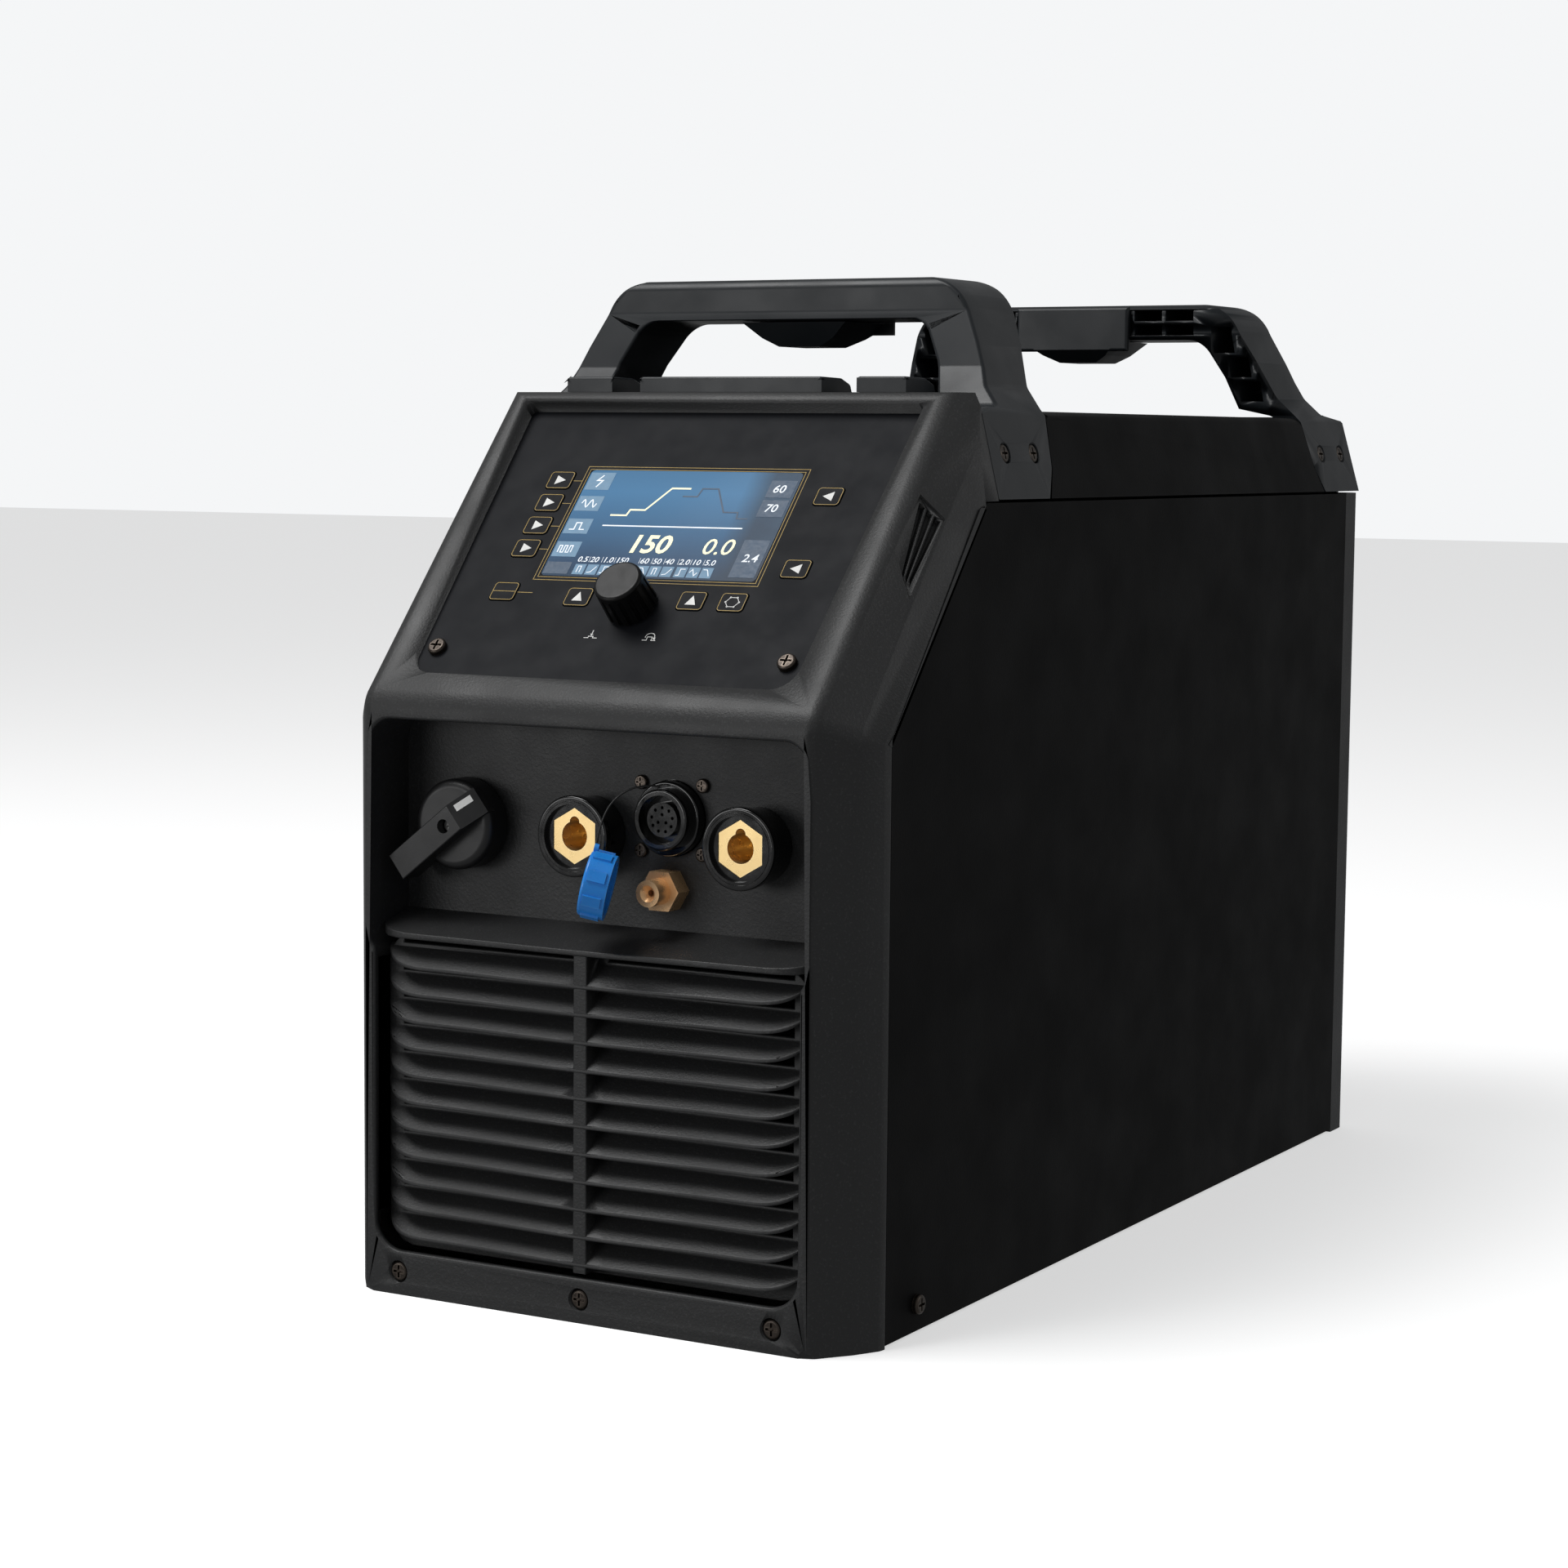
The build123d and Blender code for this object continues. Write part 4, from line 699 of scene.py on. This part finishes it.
def print_key(name):
    x, t = key_middle(name)
    reach_x, reach_t = KEY_HALF_W - KEY_BORDER, KEY_HALF_H - KEY_BORDER
    outline = rounded_box(x - reach_x, x + reach_x, t - reach_t, t + reach_t, 1.5)
    loops = stroke(outline, GOLD_LINE, closed=True)
    if name == "key_store":
        loops += stroke([(x - reach_x, t), (x + reach_x, t)], GOLD_LINE)
    prism_piece(name + "_outline", loops, KEY_TOP, "print_gold", name)
    if name in MARK_TURNS:
        turn = math.radians(MARK_TURNS[name])
        marks = [[
            (x + px * math.cos(turn) - pt * math.sin(turn), t + px * math.sin(turn) + pt * math.cos(turn))
            for px, pt in TRIANGLE
        ]]
    elif name == "key_gas_test":
        ring = arc(x, t, 3.4, 3.0, range(0, 360, 60))
        marks = stroke(ring, 0.3, closed=True)
        marks += [arc(px, pt, 0.5, 0.5, range(0, 360, 45)) for px, pt in ring]
    else:
        return
    prism_piece(name + "_mark", marks, KEY_TOP, "print_white", name)


FRAME_X = (-58.2, 58.4)
FRAME_T = (30.8, 99.4)
FRAME_STEP = 1.7
LEAD_START = KEY_HALF_W + 0.4  # a lead line starts this far from its key's middle
STORE_LEAD = 8.0


def print_frame():
    """Double line around the window, with a lead line from each mode key and from the store key."""
    (x0, x1), (t0, t1) = FRAME_X, FRAME_T
    loops = []
    for inset in (0.0, FRAME_STEP):
        outline = box_loop(x0 + inset, x1 - inset, t0 + inset, t1 - inset)
        loops += stroke(outline, GOLD_LINE, closed=True)
    for name in ("key_mode_1", "key_mode_2", "key_mode_3", "key_mode_4"):
        x, t = key_middle(name)
        loops += stroke([(x + LEAD_START, t), (x0, t)], GOLD_LINE)
    x, t = key_middle("key_store")
    loops += stroke([(x + LEAD_START, t), (x + LEAD_START + STORE_LEAD, t)], GOLD_LINE)
    prism_piece("panel_frame_lines", loops, 0.0, "print_gold", CASE)


ICON_T = -1.6                  # foot of the pictograms under the knob
ICON_LINE = 0.34
PRESS_ICON_X, TURN_ICON_X = -13.5, 16.6


def knob_profile(x, t, height):
    """A knob seen from the side, on its panel."""
    top = t + height
    outline = [(x - 3.4, t), (x - 1.2, t), (x - 1.2, top), (x + 1.2, top), (x + 1.2, t), (x + 3.4, t)]
    return stroke(outline, ICON_LINE)


def print_icons():
    """Pictograms under the knob: press to choose, and turn to change."""
    x, t = PRESS_ICON_X, ICON_T
    loops = knob_profile(x, t, 0.9)
    loops += stroke([(x, t + 4.4), (x, t + 1.9)], ICON_LINE)
    loops += [[(x, t + 1.2), (x + 0.8, t + 2.3), (x - 0.8, t + 2.3)]]
    x = TURN_ICON_X
    loops += knob_profile(x, t, 1.9)
    loops += stroke(arc(x, t + 2.0, 2.3, 2.0, range(-20, 201, 20)), ICON_LINE)
    loops += [[(x + 2.9, t + 0.2), (x + 2.9, t + 1.8), (x + 1.4, t + 1.2)]]
    prism_piece("panel_icons", loops, 0.0, "print_white", CASE)


for key_name in MARK_TURNS:
    print_key(key_name)
print_key("key_gas_test")
print_key("key_store")
print_frame()
print_icons()


# ---- display picture ----
PICTURE_OUT = -0.08            # the picture stands on the pane's face
TILE_X = (-55.1, -42.0)
TILE_T = ((85.3, 95.8), (72.4, 81.4), (58.6, 67.6), (44.8, 53.8))
LOW_TILE_T = (34.6, 41.6)
ROW_T = (34.6, 40.6)
ROW_X = (-39.6, -32.9, -26.2, -19.5, -6.6, -0.1, 6.4, 13.6, 20.2, 26.8)
ROW_WIDTH = 5.8
SIDE_TILE_X = (41.4, 54.6)
SIDE_T = ((82.4, 92.6), (71.0, 80.9), (35.6, 57.4))
RISING = ((-34.3, 70.2), (-25.8, 70.2), (-25.0, 73.6), (-17.2, 73.6), (-8.4, 86.9), (1.6, 86.9))
FALLING = (
    (-1.0, 82.2), (6.7, 82.2), (7.7, 87.0), (15.9, 87.0),
    (23.9, 73.2), (31.3, 73.2), (32.1, 69.6), (37.6, 69.6),
)
BASELINE = ((-35.8, 63.9), (37.4, 63.9))
NUMBER_T = 42.0
NUMBER_SHEAR = 0.12
SMALL_NUMBERS = ("0.5", "20", "1.0", "150", "60", "50", "40", "2.0", "10", "5.0")
# each of the others: name, text, left end and foot
SIDE_NUMBERS = (
    ("display_side_upper", "60", 43.8, 85.4),
    ("display_side_middle", "70", 44.0, 74.0),
    ("display_side_lower", "2.4", 44.4, 44.6),
)


def display_piece(name, loops, material, out=PICTURE_OUT):
    prism_piece(name, loops, out, material, CASE)


def number_piece(name, text, x, t, size, material, bold):
    """Digits on the display, starting at x with their foot at t, thickened by bold."""
    data = bpy.data.curves.new(name, "FONT")
    data.body = text
    data.size = size * MM
    data.shear = NUMBER_SHEAR
    data.offset = bold * MM
    data.extrude = PRINT_THICK / 2 * MM
    data.resolution_u = 3
    made = add_object(name + "_text", data)
    graph = bpy.context.evaluated_depsgraph_get()
    mesh = bpy.data.meshes.new_from_object(made.evaluated_get(graph))
    bpy.data.objects.remove(made)
    place = Matrix.Translation(panel_point(x, t, PICTURE_OUT + 1.5 * PRINT_THICK))
    mesh.transform(place @ Matrix.Rotation(PANEL_SLOPE, 4, "X"))
    mesh.name = name
    new_piece(name, mesh, material, CASE)


def display_tiles():
    loops = [box_loop(*TILE_X, *tile) for tile in TILE_T]
    loops += [box_loop(x, x + ROW_WIDTH, *ROW_T) for x in ROW_X]
    display_piece("display_tiles", loops, "lit_blue")
    dark = [box_loop(*SIDE_TILE_X, *tile) for tile in SIDE_T]
    dark += [box_loop(*TILE_X, *LOW_TILE_T)]
    display_piece("display_side_tiles", dark, "lit_dark")


def display_traces():
    display_piece("display_trace_rising", stroke(RISING, 0.95), "lit_cream")
    display_piece("display_trace_falling", stroke(FALLING, 0.8), "lit_dark")
    display_piece("display_baseline", stroke(BASELINE, 0.7), "lit_white")


def display_numbers():
    number_piece("display_current", "150", -17.4, 48.4, 14.6, "lit_cream", 0.34)
    number_piece("display_voltage", "0.0", 21.6, 48.4, 13.0, "lit_cream", 0.06)
    for i, (x, text) in enumerate(zip(ROW_X, SMALL_NUMBERS)):
        number_piece(f"display_value_{i + 1}", text, x - 0.2, NUMBER_T, 4.4, "lit_white", 0.04)
    for name, text, x, t in SIDE_NUMBERS:
        number_piece(name, text, x, t, 6.4, "lit_white", 0.06)


def tile_icons():
    """Drawings in the four tiles at the left: a spark, a wave, a step and pulses."""
    x = sum(TILE_X) / 2
    spark_t, wave_t, step_t, pulse_t = (sum(tile) / 2 for tile in TILE_T)
    middle = spark_t + 0.4
    spark = [(x + 0.8, spark_t + 3.6), (x - 1.6, middle), (x + 1.4, middle), (x - 0.8, spark_t - 3.6)]
    wave = [(x - 4 + 0.5 * i, wave_t + 2.2 * math.sin(math.pi * i / 4)) for i in range(17)]
    low, high = step_t - 2, step_t + 2
    step = [(x - 4, low), (x - 1.4, low), (x - 1.4, high), (x + 1.4, high), (x + 1.4, low), (x + 4, low)]
    low, high = pulse_t - 2, pulse_t + 2
    pulses = []
    for left in (x - 4.2, x - 1.4, x + 1.4):
        pulses += [(left, low), (left, high), (left + 1.4, high), (left + 1.4, low)]
    return stroke(spark, 0.7) + stroke(wave, 0.6) + stroke(step, 0.6) + stroke(pulses, 0.55)


def row_icons():
    """Drawings in the row of small tiles: five shapes in turn."""
    foot, head = ROW_T[0] + 1.2, ROW_T[1] - 1.2
    middle = sum(ROW_T) / 2
    shapes = (
        ((2.0, foot), (2.0, head), (3.6, head), (3.6, foot)),
        ((0.8, foot), (2.8, foot + 0.4), (4.8, head)),
        ((0.8, foot), (2.4, foot), (2.4, head), (4.8, head)),
        ((0.8, middle), (2.0, head), (3.6, foot), (4.8, middle)),
        ((0.8, head), (2.8, head), (4.6, foot)),
    )
    loops = []
    for i, left in enumerate(ROW_X):
        loops += stroke([(left + x, t) for x, t in shapes[i % len(shapes)]], 0.42)
    return loops


def display_bars():
    """Short lines between the small numbers."""
    bars = [box_loop(x - 0.75, x - 0.55, NUMBER_T, NUMBER_T + 3.2) for x in ROW_X[1:]]
    display_piece("display_value_bars", bars, "lit_white")


display_tiles()
display_traces()
display_numbers()
display_piece("display_icons", tile_icons() + row_icons(), "lit_white", PICTURE_OUT + PRINT_THICK)
display_bars()


# ---- mark on the main switch ----
SWITCH_TILT = math.radians(38)
SWITCH_AXIS = (-77.5, 213.5)   # across and up, in millimetres
LEVER_SLOPE_START = (7.0, 8.0)     # along the lever and behind the front face, in millimetres
LEVER_SLOPE_END = (20.0, 14.6)
SWITCH_MARK_U = (9.6, 17.4)
SWITCH_MARK_W = (1.4, 4.6)


def switch_point(u, w, lift):
    """A point on the slope at the lever's short end: u along the lever, w across it, lift out of it."""
    (u0, y0), (u1, y1) = LEVER_SLOPE_START, LEVER_SLOPE_END
    x = SWITCH_AXIS[0] + u * math.cos(SWITCH_TILT) - w * math.sin(SWITCH_TILT)
    y = FRONT_Y + y0 + (u - u0) * (y1 - y0) / (u1 - u0) - lift
    z = SWITCH_AXIS[1] + u * math.sin(SWITCH_TILT) + w * math.cos(SWITCH_TILT)
    return Vector((x, y, z)) * MM


def print_switch_mark():
    """White bar on the lever."""
    built = bmesh.new()
    corners = box_loop(*SWITCH_MARK_U, *SWITCH_MARK_W)
    high = [built.verts.new(switch_point(u, w, PRINT_THICK)) for u, w in corners]
    low = [built.verts.new(switch_point(u, w, 0.0)) for u, w in corners]
    built.faces.new(high)
    built.faces.new(list(reversed(low)))
    for i in range(4):
        j = (i + 1) % 4
        built.faces.new((low[i], low[j], high[j], high[i]))
    new_piece("switch_mark", mesh_of("switch_mark", built), "print_white", "main_switch")


print_switch_mark()


# ---- lanyard of the protective cap ----
# From the connector's rim to the eye of the cap, in metres.
LANYARD = (
    (0.0276, -0.2830, 0.2364), (0.0210, -0.2890, 0.2375), (0.0125, -0.2965, 0.2315),
    (0.0096, -0.3025, 0.2210), (0.0097, -0.3053, 0.2128),
)
LANYARD_THICK = 0.0009


def make_lanyard():
    data = bpy.data.curves.new("cap_cord", "CURVE")
    data.dimensions = "3D"
    data.bevel_depth = LANYARD_THICK / 2
    data.bevel_resolution = 3
    data.use_fill_caps = True
    spline = data.splines.new("NURBS")
    spline.points.add(len(LANYARD) - 1)
    for point, place in zip(spline.points, LANYARD):
        point.co = (*place, 1)
    spline.order_u = 3
    spline.use_endpoint_u = True
    data.materials.append(materials["lanyard_black"])
    cord = add_object("cap_cord", data)
    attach(cord, CASE)
    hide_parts("cap_lanyard")


make_lanyard()
